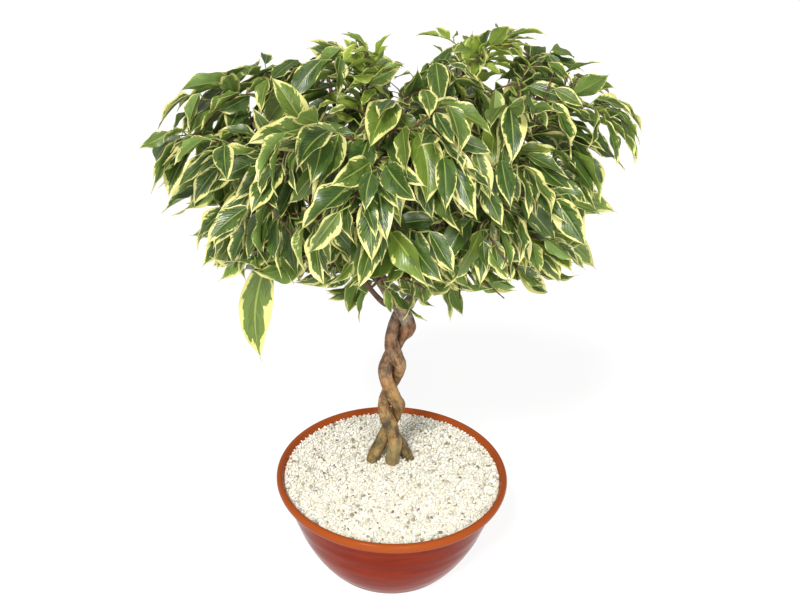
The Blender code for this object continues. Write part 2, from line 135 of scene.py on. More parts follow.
@dataclass(frozen=True)
class CrownSizes:
    """The crown's outline, its branches and its shoots."""

    centre: Vector = field(default_factory=lambda: Vector((-0.009, 0.008, 0.440)))
    half: Vector = field(default_factory=lambda: Vector((0.180, 0.144, 0.097)))
    lowest_latitude: float = math.radians(-10.0)
    branches_per_stem: int = 5
    branch_radius: float = 0.0030
    branch_tip_radius: float = 0.0018
    branch_reach: float = 0.60
    branch_first_shoot: int = 3
    leader_first_shoot: int = 8
    skirt_count: int = 11
    skirt_reach: float = 0.86
    skirt_drop: float = 0.038
    skirt_side_drop: float = 0.030
    lowest_tip: float = 0.316
    lowest_tip_slope: float = 0.48
    near_trunk: float = 0.075
    shoot_count: int = 44
    twig_radius: float = 0.0013
    twig_tip_radius: float = 0.0007
    twig_span: float = 0.072
    shortest_twig: float = 0.030
    standing: tuple = (
        ((-0.030, 0.020, 0.530), True),
        ((0.080, 0.020, 0.546), True),
        ((0.056, 0.060, 0.540), True),
        ((0.112, 0.050, 0.528), False),
        ((0.150, 0.010, 0.520), False),
        ((0.177, -0.005, 0.494), False),
        ((-0.190, -0.010, 0.458), False),
        ((-0.176, 0.000, 0.408), False),
        ((-0.150, 0.010, 0.500), False),
        ((-0.114, -0.060, 0.381), False),
    )
    pendant_shoot: str = "shoot_10"
    pendant_length: float = 0.090
    pendant_width: float = 0.036


@dataclass(frozen=True)
class LeafSizes:
    """How long, wide and thick the leaves are, and how closely they are set."""

    spacing: float = 0.0056
    length: float = 0.056
    width_ratio: float = 0.45
    solid_thickness: float = 0.0009
    clearance: float = 0.0007
    stalk: float = 0.010
    tries: int = 14


GROWTH_SEED = 11
BOWL = BowlSizes()
TRUNK = TrunkSizes()
CROWN = CrownSizes()
LEAF = LeafSizes()


class Slot(Enum):
    """The material slots of the part's record."""

    BOWL = "glazed_terracotta"
    GRAVEL = "white_gravel"
    BARK = "bark"
    LEAVES = "leaves"


# ---------------------------------------------------------------------------------------------
# Geometry helpers
# ---------------------------------------------------------------------------------------------
def taper(start: float, end: float, count: int) -> list[float]:
    """Radii that go evenly from one size to another.

    Args:
        start: First radius.
        end: Last radius.
        count: How many radii.

    Returns:
        The radii.
    """
    return [start + (end - start) * (i / (count - 1)) for i in range(count)]


def spline_points(knots: Sequence[Vector], per_span: int) -> Line:
    """Points along a Catmull-Rom curve.

    Args:
        knots: The points that the curve goes through.
        per_span: How many points each span between two knots gets.

    Returns:
        The curve's points, from the first knot to the last.
    """
    line = [2 * knots[0] - knots[1], *knots, 2 * knots[-1] - knots[-2]]
    points = []
    for a, b, c, d in zip(line, line[1:], line[2:], line[3:]):
        for step in range(per_span):
            t = step / per_span
            points.append(0.5 * (2 * b + (c - a) * t + (2 * a - 5 * b + 4 * c - d) * t ** 2
                                 + (3 * b - a - 3 * c + d) * t ** 3))
    points.append(knots[-1].copy())
    return points


def heading(points: Sequence[Vector], index: int) -> Vector:
    """The direction of a line at one of its points.

    Args:
        points: The line's points.
        index: The point's number.

    Returns:
        The direction, with length one.
    """
    low = max(index - 1, 0)
    high = min(index + 1, len(points) - 1)
    return (points[high] - points[low]).normalized()


def place_along(line: Line, distance: float) -> tuple[Vector, Vector]:
    """A place on a line.

    Args:
        line: The line's points.
        distance: How far along the line the place is.

    Returns:
        The point, and the line's direction there.
    """
    lengths = [(b - a).length for a, b in zip(line, line[1:])]
    index = 0
    while distance > lengths[index]:
        distance -= lengths[index]
        index += 1
    point = line[index].lerp(line[index + 1], distance / lengths[index])
    return point, (line[index + 1] - line[index]).normalized()


def ring_faces(rows: int, sides: int, inward: bool = False) -> list[tuple[int, ...]]:
    """The four-sided faces between rings of vertices.

    Args:
        rows: How many gaps between rings there are.
        sides: How many vertices each ring has.
        inward: Whether the faces look the other way.

    Returns:
        The faces by vertex number.
    """
    faces = []
    for low in range(0, rows * sides, sides):
        high = low + sides
        for k in range(sides):
            nxt = (k + 1) % sides
            if inward:
                faces.append((low + k, high + k, high + nxt, low + nxt))
            else:
                faces.append((low + k, low + nxt, high + nxt, high + k))
    return faces


def tube_mesh(name: str, points: Line, radii: Sequence[float], bevel_resolution: int) -> bpy.types.Mesh:
    """A closed tube made by a bevelled curve whose caps are welded.

    Args:
        name: The mesh's name.
        points: The tube's middle line.
        radii: The tube's radius at each point.
        bevel_resolution: The curve's bevel resolution, which sets the number of sides.

    Returns:
        The tube's mesh.
    """
    curve = bpy.data.curves.new(name, "CURVE")
    curve.dimensions = "3D"
    curve.bevel_depth = 1.0
    curve.bevel_resolution = bevel_resolution
    curve.use_fill_caps = True
    spline = curve.splines.new("POLY")
    spline.points.add(len(points) - 1)
    for knot, point, radius in zip(spline.points, points, radii):
        knot.co = (*point, 1.0)
        knot.radius = radius
    holder = bpy.data.objects.new(name, curve)
    bpy.context.scene.collection.objects.link(holder)
    evaluated = holder.evaluated_get(bpy.context.evaluated_depsgraph_get())
    mesh = bpy.data.meshes.new_from_object(evaluated)
    bpy.data.objects.remove(holder, do_unlink=True)
    bpy.data.curves.remove(curve)
    bm = bmesh.new()
    bm.from_mesh(mesh)
    bmesh.ops.remove_doubles(bm, verts=bm.verts, dist=1e-6)
    bmesh.ops.recalc_face_normals(bm, faces=bm.faces)
    bm.to_mesh(mesh)
    bm.free()
    return mesh


def unit(vectors: np.ndarray) -> np.ndarray:
    """The rows of an array, each with length one."""
    return vectors / np.maximum(np.linalg.norm(vectors, axis=-1, keepdims=True), 1e-12)


class MeshBatch:
    """Gathers vertices, faces, UVs and point attributes of many small shapes into one mesh."""

    def __init__(self) -> None:
        """Starts with no shape."""
        self.vertices: list[np.ndarray] = []
        self.faces: list[tuple[int, ...]] = []
        self.uvs: list[np.ndarray] = []
        self.values: dict[str, list[np.ndarray]] = {}
        self.count = 0

    def add(self, vertices: np.ndarray, faces: Iterable[tuple[int, ...]], uvs: np.ndarray | None = None,
            **values: np.ndarray | float) -> None:
        """Adds one shape.

        Args:
            vertices: An array of positions.
            faces: Faces by vertex number within the shape.
            uvs: A UV for each vertex, or None for none.
            **values: Named point attributes, each an array or one number.
        """
        offset = self.count
        self.vertices.append(vertices)
        self.faces.extend(tuple(offset + i for i in face) for face in faces)
        self.uvs.append(np.zeros((len(vertices), 2)) if uvs is None else uvs)
        for name, value in values.items():
            row = np.full(len(vertices), value) if np.isscalar(value) else value
            self.values.setdefault(name, []).append(row)
        self.count += len(vertices)

    def mesh(self, name: str, uv_name: str, sharp_angle: float) -> bpy.types.Mesh:
        """The gathered mesh, shaded smooth with sharp edges.

        Args:
            name: The mesh's name.
            uv_name: The UV map's name.
            sharp_angle: Edges that turn more than this stay sharp, in radians.

        Returns:
            The mesh.
        """
        mesh = bpy.data.meshes.new(name)
        mesh.from_pydata(np.concatenate(self.vertices).tolist(), [], self.faces)
        corners = np.zeros(len(mesh.loops), dtype=np.int32)
        mesh.loops.foreach_get("vertex_index", corners)
        layer = mesh.uv_layers.new(name=uv_name)
        layer.data.foreach_set("uv", np.concatenate(self.uvs)[corners].astype(np.float32).ravel())
        for key, rows in self.values.items():
            values = np.concatenate(rows).astype(np.float32)
            kind, member = ("FLOAT_VECTOR", "vector") if values.ndim == 2 else ("FLOAT", "value")
            mesh.attributes.new(key, kind, "POINT").data.foreach_set(member, values.ravel())
        mesh.shade_smooth()
        mesh.set_sharp_from_angle(angle=sharp_angle)
        mesh.update()
        return mesh


def place(name: str, mesh: bpy.types.Mesh, finish: bpy.types.Material, slot: Slot,
          *nodes: str) -> bpy.types.Object:
    """Puts a finished mesh into the scene as a piece of the object.

    Args:
        name: The piece's name.
        mesh: Its mesh.
        finish: Its material.
        slot: The record's material slot; not used.
        *nodes: The solid nodes that it stands for.

    Returns:
        The piece.
    """
    piece = bpy.data.objects.new(name, mesh)
    mesh.materials.clear()
    mesh.materials.append(finish)
    bpy.context.scene.collection.objects.link(piece)
    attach(piece, "root")
    if nodes:
        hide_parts(*nodes)
    return piece


# ---------------------------------------------------------------------------------------------
# Growth: the same rules and the same order of random draws as the solid model
# ---------------------------------------------------------------------------------------------
class Occupied:
    """Everything grown so far, kept as search trees, so that new growth stays clear of it."""

    def __init__(self) -> None:
        """Starts with nothing grown."""
        self.entries: list[tuple[Vector, float, BVHTree, str]] = []

    def add(self, vertices: Line, faces: list[tuple[int, ...]], owner: str) -> None:
        """Adds one closed mesh.

        Args:
            vertices: Its vertices.
            faces: Its faces.
            owner: The name of the stem, branch or shoot that it belongs to.
        """
        centre = sum(vertices, Vector()) / len(vertices)
        reach = max((v - centre).length for v in vertices)
        self.entries.append((centre, reach, BVHTree.FromPolygons(vertices, faces), owner))

    def add_mesh(self, mesh: bpy.types.Mesh, owner: str) -> None:
        """Adds a Blender mesh under its owner's name."""
        self.add([v.co.copy() for v in mesh.vertices], [tuple(f.vertices) for f in mesh.polygons], owner)

    def line_is_clear(self, points: Line, clearance: float, host: str) -> bool:
        """Whether a line stays clear of everything, but for its start near its host.

        Args:
            points: The line's points.
            clearance: How far from everything they have to be.
            host: The owner that the line starts from.

        Returns:
            True when the line is clear.
        """
        for centre, reach, tree, owner in self.entries:
            for point in points[2:] if owner == host else points:
                if (point - centre).length > reach + clearance:
                    continue
                if tree.find_nearest(point, clearance)[0] is not None:
                    return False
        return True

    def solid_is_clear(self, vertices: Line, faces: list[tuple[int, ...]], owner: str) -> bool:
        """Whether a closed mesh crosses nothing that has another owner.

        Args:
            vertices: The mesh's vertices.
            faces: Its faces.
            owner: The shoot whose twig and side twigs it may cross.

        Returns:
            True when it is clear.
        """
        centre = sum(vertices, Vector()) / len(vertices)
        reach = max((v - centre).length for v in vertices)
        shape = None
        for other_centre, other_reach, tree, other_owner in self.entries:
            if other_owner == owner or other_owner.startswith(owner + "_side"):
                continue
            if (centre - other_centre).length > reach + other_reach:
                continue
            if shape is None:
                shape = BVHTree.FromPolygons(vertices, faces)
            if shape.overlap(tree):
                return False
        return True


class Leaf:
    """One leaf's place and posture, with the plain solid that claims its space."""

    SECTIONS = (0.30, 0.68)
    WIDTHS = (1.0, 0.80)

    def __init__(self, root: Vector, stalk: Vector, axis: Vector, normal: Vector, length: float,
                 width: float, fold: float, droop: float, young: bool = False) -> None:
        """Sets the leaf's place.

        Args:
            root: Where its stalk starts in the twig.
            stalk: The stalk's direction.
            axis: The midrib's direction.
            normal: About the direction that the blade's top looks.
            length: The blade's length.
            width: Its greatest width.
            fold: How far its edges rise, as a share of its half width.
            droop: How far its tip drops, as a share of its length.
            young: Whether it is a fresh leaf.
        """
        self.root = root
        self.stalk = stalk
        self.base = root + stalk * LEAF.stalk
        self.axis = axis
        self.side = axis.cross(normal).normalized()
        self.normal = self.side.cross(axis).normalized()
        self.length = length
        self.width = width
        self.fold = fold
        self.droop = droop
        self.young = young

    def roll(self, angle: float) -> None:
        """Turns the blade about its midrib."""
        self.normal = Matrix.Rotation(angle, 3, self.axis) @ self.normal
        self.side = self.axis.cross(self.normal).normalized()

    def midrib(self, t: float) -> Vector:
        """The point a fraction t along the blade's midrib."""
        return self.base + self.length * (self.axis * t - self.normal * self.droop * t * t)

    def solid(self, spare: float = 0.0) -> tuple[Line, list[tuple[int, ...]]]:
        """The closed leaf: a point in the twig, two sections and the tip.

        Args:
            spare: How much wider, thicker and longer the leaf is made.

        Returns:
            Its vertices and faces.
        """
        vertices = [self.root.copy()]
        for t, share in zip(self.SECTIONS, self.WIDTHS):
            middle = self.midrib(t)
            half = self.side * (self.width * 0.5 * share + 1.5 * spare)
            raised = self.width * 0.5 * share * self.fold + 0.5 * LEAF.solid_thickness + 0.4 * spare
            lift = self.normal * raised
            keel = self.normal * (0.5 * LEAF.solid_thickness + spare)
            vertices += [middle - half + lift, middle + half + lift, middle - keel]
        vertices.append(self.midrib(1.0 + 2.0 * spare / self.length))
        faces = [(0, 2, 1), (0, 3, 2), (0, 1, 3), (7, 4, 5), (7, 5, 6), (7, 6, 4)]
        for a, b in ((1, 2), (2, 3), (3, 1)):
            faces += [(a, b, b + 3), (a, b + 3, a + 3)]
        return vertices, faces


class Host:
    """A stem or branch that shoots can start from."""

    def __init__(self, name: str, points: Line, radii: list[float], first: int) -> None:
        """Sets the host's shape.

        Args:
            name: Its name.
            points: Its middle line.
            radii: Its radius at each point.
            first: The first point that a shoot may start at.
        """
        self.name = name
        self.points = points
        self.radii = radii
        self.first = first

    def child_line(self, index: int, target: Vector, child_radius: float, rise: float,
                   steps: int) -> Line | None:
        """A child tube's line: square off the host's surface, then in an arch to the target.

        Args:
            index: The host's point that the child starts at.
            target: Where the child ends.
            child_radius: The child's radius at its start.
            rise: How far the arch rises, as a share of its span.
            steps: How many pieces the line has.

        Returns:
            The line, or None where the target lies straight along the host.
        """
        origin = self.points[index]
        along = heading(self.points, index)
        reach = target - origin
        across = reach - along * reach.dot(along)
        if index == len(self.points) - 1 and reach.normalized().dot(along) > 0.8:
            start = origin + along * 2 * TRUNK.fit_gap
            direction = along
        else:
            if across.length < 0.004:
                return None
            across.normalize()
            direction = (across + along * 0.4).normalized()
            start = origin + across * (self.radii[index] + 2 * TRUNK.fit_gap + 0.5 * child_radius)
        span = (target - start).length
        bend = start + direction * 0.4 * span + UP * rise * span
        points = []
        for i in range(steps + 1):
            t = i / steps
            points.append(start * (1 - t) ** 2 + bend * 2 * t * (1 - t) + target * t * t)
        return points


@dataclass
class Stem:
    """One of the trunk's two stems: its parts' lines and radii."""

    name: str
    below: Line
    helix: Line
    above: Line
    radii: list[float]
    side_roots: list[tuple[Line, list[float]]]


@dataclass
class Shoot:
    """One shoot: its twig, its side twigs and its leaves."""

    name: str
    line: Line
    young: bool
    node: str = ""
    leaves: list[Leaf] = field(default_factory=list)
    side_lines: list[Line] = field(default_factory=list)


def random_vector(rng: random.Random) -> Vector:
    """A random direction with a length under about one."""
    return Vector((rng.gauss(0.0, 0.5), rng.gauss(0.0, 0.5), rng.gauss(0.0, 0.5)))


def crown_outward(point: Vector) -> tuple[Vector, Vector]:
    """The crown's outward direction at a point.

    Args:
        point: The point.

    Returns:
        The outward direction, and its level part.
    """
    offset = point - CROWN.centre
    outward = Vector([offset[k] / CROWN.half[k] ** 2 for k in range(3)]).normalized()
    level = Vector((offset.x, offset.y, 0.0))
    level = level.normalized() if level.length > 1e-4 else Vector((1.0, 0.0, 0.0))
    return outward, level


def hangs_too_low(leaf: Leaf, spare: float = 0.0) -> bool:
    """Whether a leaf's tip hangs below the crown's skirt, which rises to the front and back.

    Args:
        leaf: The leaf.
        spare: How much lower it may hang close to the trunk.

    Returns:
        True when it hangs too low.
    """
    tip = leaf.midrib(1.0)
    near = math.hypot(tip.x, tip.y - TRUNK.y) < CROWN.near_trunk
    return tip.z < CROWN.lowest_tip + CROWN.lowest_tip_slope * abs(tip.y) - (spare if near else 0.0)


class Growth:
    """Grows the tree: stems, branches, twigs and leaves."""

    def __init__(self) -> None:
        """Starts with bare soil."""
        self.occupied = Occupied()
        self.rng = random.Random(GROWTH_SEED)
        self.stems: list[Stem] = []
        self.leaders: list[Host] = []
        self.branches: list[Host] = []
        self.shoots: list[Shoot] = []

    def grow(self) -> None:
        """Grows everything, in the solid model's order."""
        right = self.stem("stem_1", TRUNK.centre_leg, [TRUNK.right_leg], TRUNK.right_leader, 0.0)
        left = self.stem("stem_2", TRUNK.left_leg, [], TRUNK.left_leader, math.pi)
        self.leaders = [right, left]
        self.grow_branches(self.leaders)
        self.grow_shoots(self.branches + self.leaders)

    @staticmethod
    def strand_point(height: float, turn: float) -> Vector:
        """The middle of a strand of the twist.

        Args:
            height: Height above the bowl's base.
            turn: 0 for one strand and pi for the other.

        Returns:
            The point.
        """
        line = TRUNK.middle_line
        for (x0, z0), (x1, z1) in zip(line, line[1:]):
            if height <= z1:
                break
        t = (height - z0) / (z1 - z0)
        x = x0 + (x1 - x0) * t * t * (3.0 - 2.0 * t)
        phase = -0.5 * math.pi - math.pi * (height - TRUNK.first_crossing) / TRUNK.half_turn + turn
        offset = TRUNK.strand_radius + 2.5 * TRUNK.fit_gap
        return Vector((x, TRUNK.y, height)) + offset * Vector((math.cos(phase), math.sin(phase), 0.0))

    @staticmethod
    def root_end(leg: Sequence) -> Vector:
        """A root leg's end, where its line is carried straight on into the soil.

        Args:
            leg: The leg's points, from the top.

        Returns:
            The end.
        """
        last, before = Vector(leg[-1]), Vector(leg[-2])
        slope = (last - before) / (before.z - last.z)
        return last + slope * (last.z - TRUNK.root_end)

    def stem(self, name: str, leg: Sequence, side_legs: list, leader: Sequence, turn: float) -> Host:
        """Lays out one stem.

        Args:
            name: The stem's node.
            leg: Points of its main root leg, from the top.
            side_legs: Points of its other root legs.
            leader: Points of its leader in the crown.
            turn: 0 for one strand and pi for the other.

        Returns:
            The leader, as a host for branches.
        """
        top = self.strand_point(TRUNK.twist_top, turn)
        lead_in = self.strand_point(TRUNK.twist_top - 0.004, turn)
        above = spline_points([lead_in, top, *[Vector(p) for p in leader]], 4)[5:]
        levels = 24
        rise = TRUNK.twist_top - TRUNK.first_crossing
        helix = [self.strand_point(TRUNK.first_crossing + rise * i / levels, turn)
                 for i in range(levels + 1)]
        feet = [self.root_end(leg), *[Vector(p) for p in reversed(leg)], helix[0], helix[1]]
        below = spline_points(feet, 3)[:-4]
        size = TRUNK.strand_radius
        radii = taper(size * 0.98, size, len(below)) + [size] * len(helix)
        radii += taper(size * 0.93, size * 0.30, len(above))
        points = below + helix + above
        self.occupied.add_mesh(tube_mesh(name, points, radii, 3), name)
        side_roots = []
        for side_leg in side_legs:
            knots = [helix[0], *[Vector(p) for p in side_leg], self.root_end(side_leg)]
            side = spline_points(knots, 3)
            side_roots.append((side, taper(size * 0.72, size * 0.80, len(side))))
        self.stems.append(Stem(name, below, helix, above, radii, side_roots))
        return Host(name, above, radii[-len(above):], CROWN.leader_first_shoot)

    def grow_branches(self, stems: list[Host]) -> None:
        """Grows ten branches, spread round the crown in two tiers.

        Args:
            stems: The leaders that the branches start from.
        """
        count = CROWN.branches_per_stem * len(stems)
        half = CROWN.half
        for number in range(count):
            azimuth = math.tau * (number + 0.5) / count
            tier = 1.0 if number % 2 else -0.25
            target = CROWN.centre + CROWN.branch_reach * Vector((
                half.x * math.cos(azimuth), half.y * math.sin(azimuth), half.z * tier))
            stem = stems[0] if math.cos(azimuth) > 0 else stems[1]
            share = 0.55 if tier > 0 else 0.16
            share += 0.07 * math.sin(azimuth * 3.0)
            index = round(share * (len(stem.points) - 1))
            for shift in (0, 1, -1, 2, -2, 3):
                points = stem.child_line(index + shift, target, CROWN.branch_radius, 0.06, 6)
                clearance = CROWN.branch_radius + 2 * TRUNK.fit_gap
                if points and self.occupied.line_is_clear(points, clearance, stem.name):
                    break
            radii = taper(CROWN.branch_radius, CROWN.branch_tip_radius, len(points))
            name = f"branch_{number + 1:02d}"
            self.occupied.add_mesh(tube_mesh(name, points, radii, 1), name)
            self.branches.append(Host(name, points, radii, CROWN.branch_first_shoot))

    def shoot_tips(self) -> list[tuple[Vector, bool]]:
        """Where the twigs end: the standing shoots, a skirt of low ones, and a spiral over the crown.

        Returns:
            Each twig's end, and whether the twig is young.
        """
        tips = [(Vector(tip), young) for tip, young in CROWN.standing]
        half = CROWN.half
        for i in range(CROWN.skirt_count):
            azimuth = math.tau * (i + 0.25) / CROWN.skirt_count
            reach = CROWN.skirt_reach * self.rng.uniform(0.90, 1.02)
            drop = CROWN.skirt_drop + CROWN.skirt_side_drop * math.cos(2 * azimuth)
            drop += self.rng.uniform(-0.006, 0.006)
            tips.append((CROWN.centre + Vector((half.x * reach * math.cos(azimuth),
                                                half.y * reach * math.sin(azimuth), -drop)), False))
        spread = CROWN.shoot_count - len(tips)
        low = math.sin(CROWN.lowest_latitude)
        for i in range(spread):
            sine = 1.0 - (i + 0.5) / spread * (1.0 - low)
            cosine = math.sqrt(1.0 - sine * sine)
            azimuth = i * GOLDEN_ANGLE
            size = self.rng.uniform(0.86, 1.04)
            tips.append((CROWN.centre + size * Vector((half.x * cosine * math.cos(azimuth),
                                                       half.y * cosine * math.sin(azimuth),
                                                       half.z * sine)), False))
        return tips

    def find_twig(self, tip: Vector, hosts: list[Host], span: float) -> Line | None:
        """The twig's line from the best free place on a branch or leader to its tip.

        Args:
            tip: Where the twig ends.
            hosts: The branches and leaders.
            span: How long the twig would best be.

        Returns:
            The line, or None where no free place is found.
        """
        options = []
        for host in hosts:
            for index in range(host.first, len(host.points)):
                distance = (host.points[index] - tip).length
                options.append((abs(distance - span), host, index))
        options.sort(key=lambda option: option[0])
        for _, host, index in options[:60]:
            points = host.child_line(index, tip, CROWN.twig_radius, self.rng.uniform(0.03, 0.12), 4)
            if points is None or (points[0] - tip).length < CROWN.shortest_twig:
                continue
            fine = [a.lerp(b, s / 4) for a, b in zip(points, points[1:]) for s in range(4)] + [points[-1]]
            if self.occupied.line_is_clear(fine, CROWN.twig_radius + 3 * TRUNK.fit_gap, host.name):
                return points
        return None

    def try_leaf(self, point: Vector, along: Vector, number: int, young: bool, attempt: int) -> Leaf:
        """One candidate leaf at a point of a twig.

        Args:
            point: Where its stalk starts.
            along: The twig's direction there.
            number: The leaf's number, which sets its side of the twig.
            young: Whether the shoot is young.
            attempt: How many candidates were tried before.

        Returns:
            The leaf.
        """
        rng = self.rng
        outward, level = crown_outward(point)
        level_side = along.cross(UP)
        level_side = level_side.normalized() if level_side.length > 0.1 else level.cross(UP)
        side = level_side if number % 2 else -level_side
        stray = 0.40 + 0.05 * attempt
        stalk = (side * 0.8 + along * 0.5 + outward * 0.3 + random_vector(rng) * stray).normalized()
        hang = 0.25 if young else rng.uniform(0.55, 1.15)
        axis = side * 0.45 + along * 0.40 + level * 0.45 + DOWN * hang + random_vector(rng) * stray
        axis = axis.normalized()
        normal = (outward + UP * 0.25 + random_vector(rng) * (0.35 + 0.04 * attempt)).normalized()
        if abs(normal.dot(axis)) > 0.94:
            normal = side.cross(axis)
        size = (0.62 if young else 1.0) * rng.uniform(0.80, 1.16) * (1.0 - 0.02 * attempt)
        length = LEAF.length * size
        width = length * LEAF.width_ratio * rng.uniform(0.88, 1.12)
        return Leaf(point, stalk, axis, normal, length, width, rng.uniform(0.10, 0.34),
                    rng.uniform(0.05, 0.22), young)

    def grow_leaves(self, shoot: Shoot) -> None:
        """Grows a shoot's leaves, alternating along its twig and clear of everything else.

        Args:
            shoot: The shoot, which gets the leaves.
        """
        points = shoot.line
        if shoot.name == CROWN.pendant_shoot:
            hanging = Leaf(points[-1], DOWN, Vector((-0.08, -0.02, -1.0)).normalized(),
                           Vector((0.1, -1.0, 0.1)), CROWN.pendant_length, CROWN.pendant_width, 0.22, 0.05)
            shoot.leaves.append(hanging)
            self.occupied.add(*hanging.solid(), f"{shoot.name}_pendant")
        total = sum((b - a).length for a, b in zip(points, points[1:]))
        spacing = LEAF.spacing * (0.75 if shoot.young else 1.0)
        distance = max(total * 0.22, 0.012)
        number = 0
        while distance < total:
            point, along = place_along(points, distance)
            for attempt in range(LEAF.tries):
                leaf = self.try_leaf(point, along, number, shoot.young, attempt)
                wide, faces = leaf.solid(LEAF.clearance)
                if hangs_too_low(leaf):
                    continue
                if self.occupied.solid_is_clear(wide, faces, shoot.name):
                    shoot.leaves.append(leaf)
                    self.occupied.add(leaf.solid()[0], faces, f"{shoot.name}_{number}")
                    break
            distance += spacing
            number += 1

    def grow_shoots(self, hosts: list[Host]) -> None:
        """Grows every twig, and then the leaves on each.

        Args:
            hosts: The branches and leaders.
        """
        for number, (tip, young) in enumerate(self.shoot_tips()):
            points = self.find_twig(tip, hosts, CROWN.twig_span)
            if points is None:
                continue
            name = f"shoot_{number + 1:02d}"
            radii = taper(CROWN.twig_radius, CROWN.twig_tip_radius, len(points))
            self.occupied.add_mesh(tube_mesh(name, points, radii, 1), name)
            self.shoots.append(Shoot(name, points, young, name))
        for shoot in self.shoots:
            self.grow_leaves(shoot)


@dataclass
class FineGrowth:
    """The small side twigs and leaves that fill the crown between the solid model's leaves."""

    seed: int = 29
    side_twigs: int = 3
    side_length: tuple = (0.024, 0.044)
    spacing: float = 0.0062
    tries: int = 12
    size: tuple = (0.60, 1.0)
    roll: float = 0.75
    inner_count: int = 56
    inner_radii: tuple = (0.0011, 0.0007)
    side_radii: tuple = (0.0009, 0.0006)
    side_gap: float = 0.0012
    first_leaf: float = 0.0030
    first_side_leaf: float = 0.0040
    young_share: float = 0.75
    end_gap: float = 1e-5
    lower_near_trunk: float = 0.040
    leader_top: float = 0.400
    highest_tip: float = 0.556
    lowest_twig: float = 0.324
    widest: tuple = (0.226, 0.176)
    inner_span: float = 0.045
    inner_levels: tuple = (-1.02, 0.15)

    def fill(self, growth: Growth) -> int:
        """Adds side twigs with leaves to every shoot.

        Args:
            growth: The grown tree.

        Returns:
            How many leaves were added.
        """
        growth.rng = random.Random(self.seed)
        self.grow_inner_twigs(growth)
        added = 0
        for shoot in growth.shoots:
            added += self.leaves_along(growth, shoot, shoot.line, self.first_leaf)
            for number in range(self.side_twigs):
                line = self.side_line(growth, shoot, number)
                if line is None:
                    continue
                count = self.leaves_along(growth, shoot, line, self.first_side_leaf)
                if count:
                    shoot.side_lines.append(line)
                    added += count
        growth.shoots = [shoot for shoot in growth.shoots if shoot.leaves or shoot.node]
        return added

    def grow_inner_twigs(self, growth: Growth) -> None:
        """Short twigs on the leaders and branches, inside the crown and under it.

        Args:
            growth: The grown tree.
        """
        for number, leader in enumerate(growth.leaders, 1):
            line = [point for point in leader.points if TRUNK.twist_top + 0.008 < point.z < self.leader_top]
            if len(line) >= 3:
                growth.shoots.append(Shoot(f"shoot_in_leader_{number}", line, False))
        hosts = [Host(h.name, h.points, h.radii, 1) for h in growth.branches + growth.leaders]
        half = CROWN.half
        for number in range(self.inner_count):
            azimuth = number * GOLDEN_ANGLE
            reach = 0.06 + 0.64 * math.sqrt((number + 0.5) / self.inner_count)
            level = growth.rng.uniform(*self.inner_levels)
            tip = CROWN.centre + Vector((half.x * reach * math.cos(azimuth),
                                         half.y * reach * math.sin(azimuth), half.z * level))
            line = growth.find_twig(tip, hosts, self.inner_span)
            if line is not None:
                name = f"shoot_in_{number + 1:02d}"
                radii = taper(*self.inner_radii, len(line))
                growth.occupied.add_mesh(tube_mesh(name, line, radii, 1), name)
                growth.shoots.append(Shoot(name, line, False))

    def side_line(self, growth: Growth, shoot: Shoot, number: int) -> Line | None:
        """A side twig of a shoot.

        Args:
            growth: The grown tree.
            shoot: The shoot.
            number: The side twig's number, which sets its place along the twig.

        Returns:
            Its line, or None where no free place is found.
        """
        rng = growth.rng
        points = shoot.line
        index = 1 + number % (len(points) - 2)
        for _ in range(self.tries):
            start = points[index].lerp(points[index + 1], rng.random())
            along = (points[index + 1] - points[index]).normalized()
            outward, level = crown_outward(start)
            side = along.cross(UP).normalized() * (1 if number % 2 else -1)
            direction = (side * 0.9 + along * 0.5 + level * 0.3 + random_vector(rng) * 0.9).normalized()
            length = rng.uniform(*self.side_length) * (0.7 if shoot.young else 1.0)
            sag = DOWN * length * rng.uniform(0.05, 0.30)
            line = [start + direction * length * t + sag * t * t for t in (0.0, 0.25, 0.5, 0.75, 1.0)]
            high_enough = line[-1].z > self.lowest_twig
            if high_enough and growth.occupied.line_is_clear(line[1:], self.side_gap, ""):
                radii = taper(*self.side_radii, len(line))
                growth.occupied.add_mesh(tube_mesh("side", line, radii, 0), f"{shoot.name}_side_{number}")
                return line
        return None

    def leaves_along(self, growth: Growth, shoot: Shoot, line: Line, first: float) -> int:
        """Leaves along a twig, wherever there is room.

        Args:
            growth: The grown tree.
            shoot: The shoot that they belong to.
            line: The twig's line.
            first: How far along the twig the first leaf is.

        Returns:
            How many leaves were added.
        """
        rng = growth.rng
        total = sum((b - a).length for a, b in zip(line, line[1:]))
        distance = first
        number = rng.randrange(2)
        added = 0
        while distance < total + 0.0005:
            point, along = place_along(line, min(distance, total - self.end_gap))
            for attempt in range(self.tries):
                leaf = growth.try_leaf(point, along, number, shoot.young, attempt)
                scale = rng.uniform(*self.size) * (self.young_share if shoot.young else 1.0)
                leaf.length *= scale
                leaf.width *= scale
                leaf.roll(rng.gauss(0.0, self.roll))
                wide, faces = leaf.solid(LEAF.clearance)
                if self.sticks_out(leaf) or hangs_too_low(leaf, self.lower_near_trunk):
                    continue
                if growth.occupied.solid_is_clear(wide, faces, shoot.name):
                    shoot.leaves.append(leaf)
                    growth.occupied.add(leaf.solid()[0], faces, f"{shoot.name}_fine_{len(shoot.leaves)}")
                    added += 1
                    break
            distance += self.spacing
            number += 1
        return added

    def sticks_out(self, leaf: Leaf) -> bool:
        """Whether a leaf's tip lies past the crown's widest and highest.

        Args:
            leaf: The leaf.

        Returns:
            True when it sticks out.
        """
        tip, centre = leaf.midrib(1.0), CROWN.centre
        past_side = abs(tip.x - centre.x) > self.widest[0] or abs(tip.y - centre.y) > self.widest[1]
        return past_side or tip.z > self.highest_tip


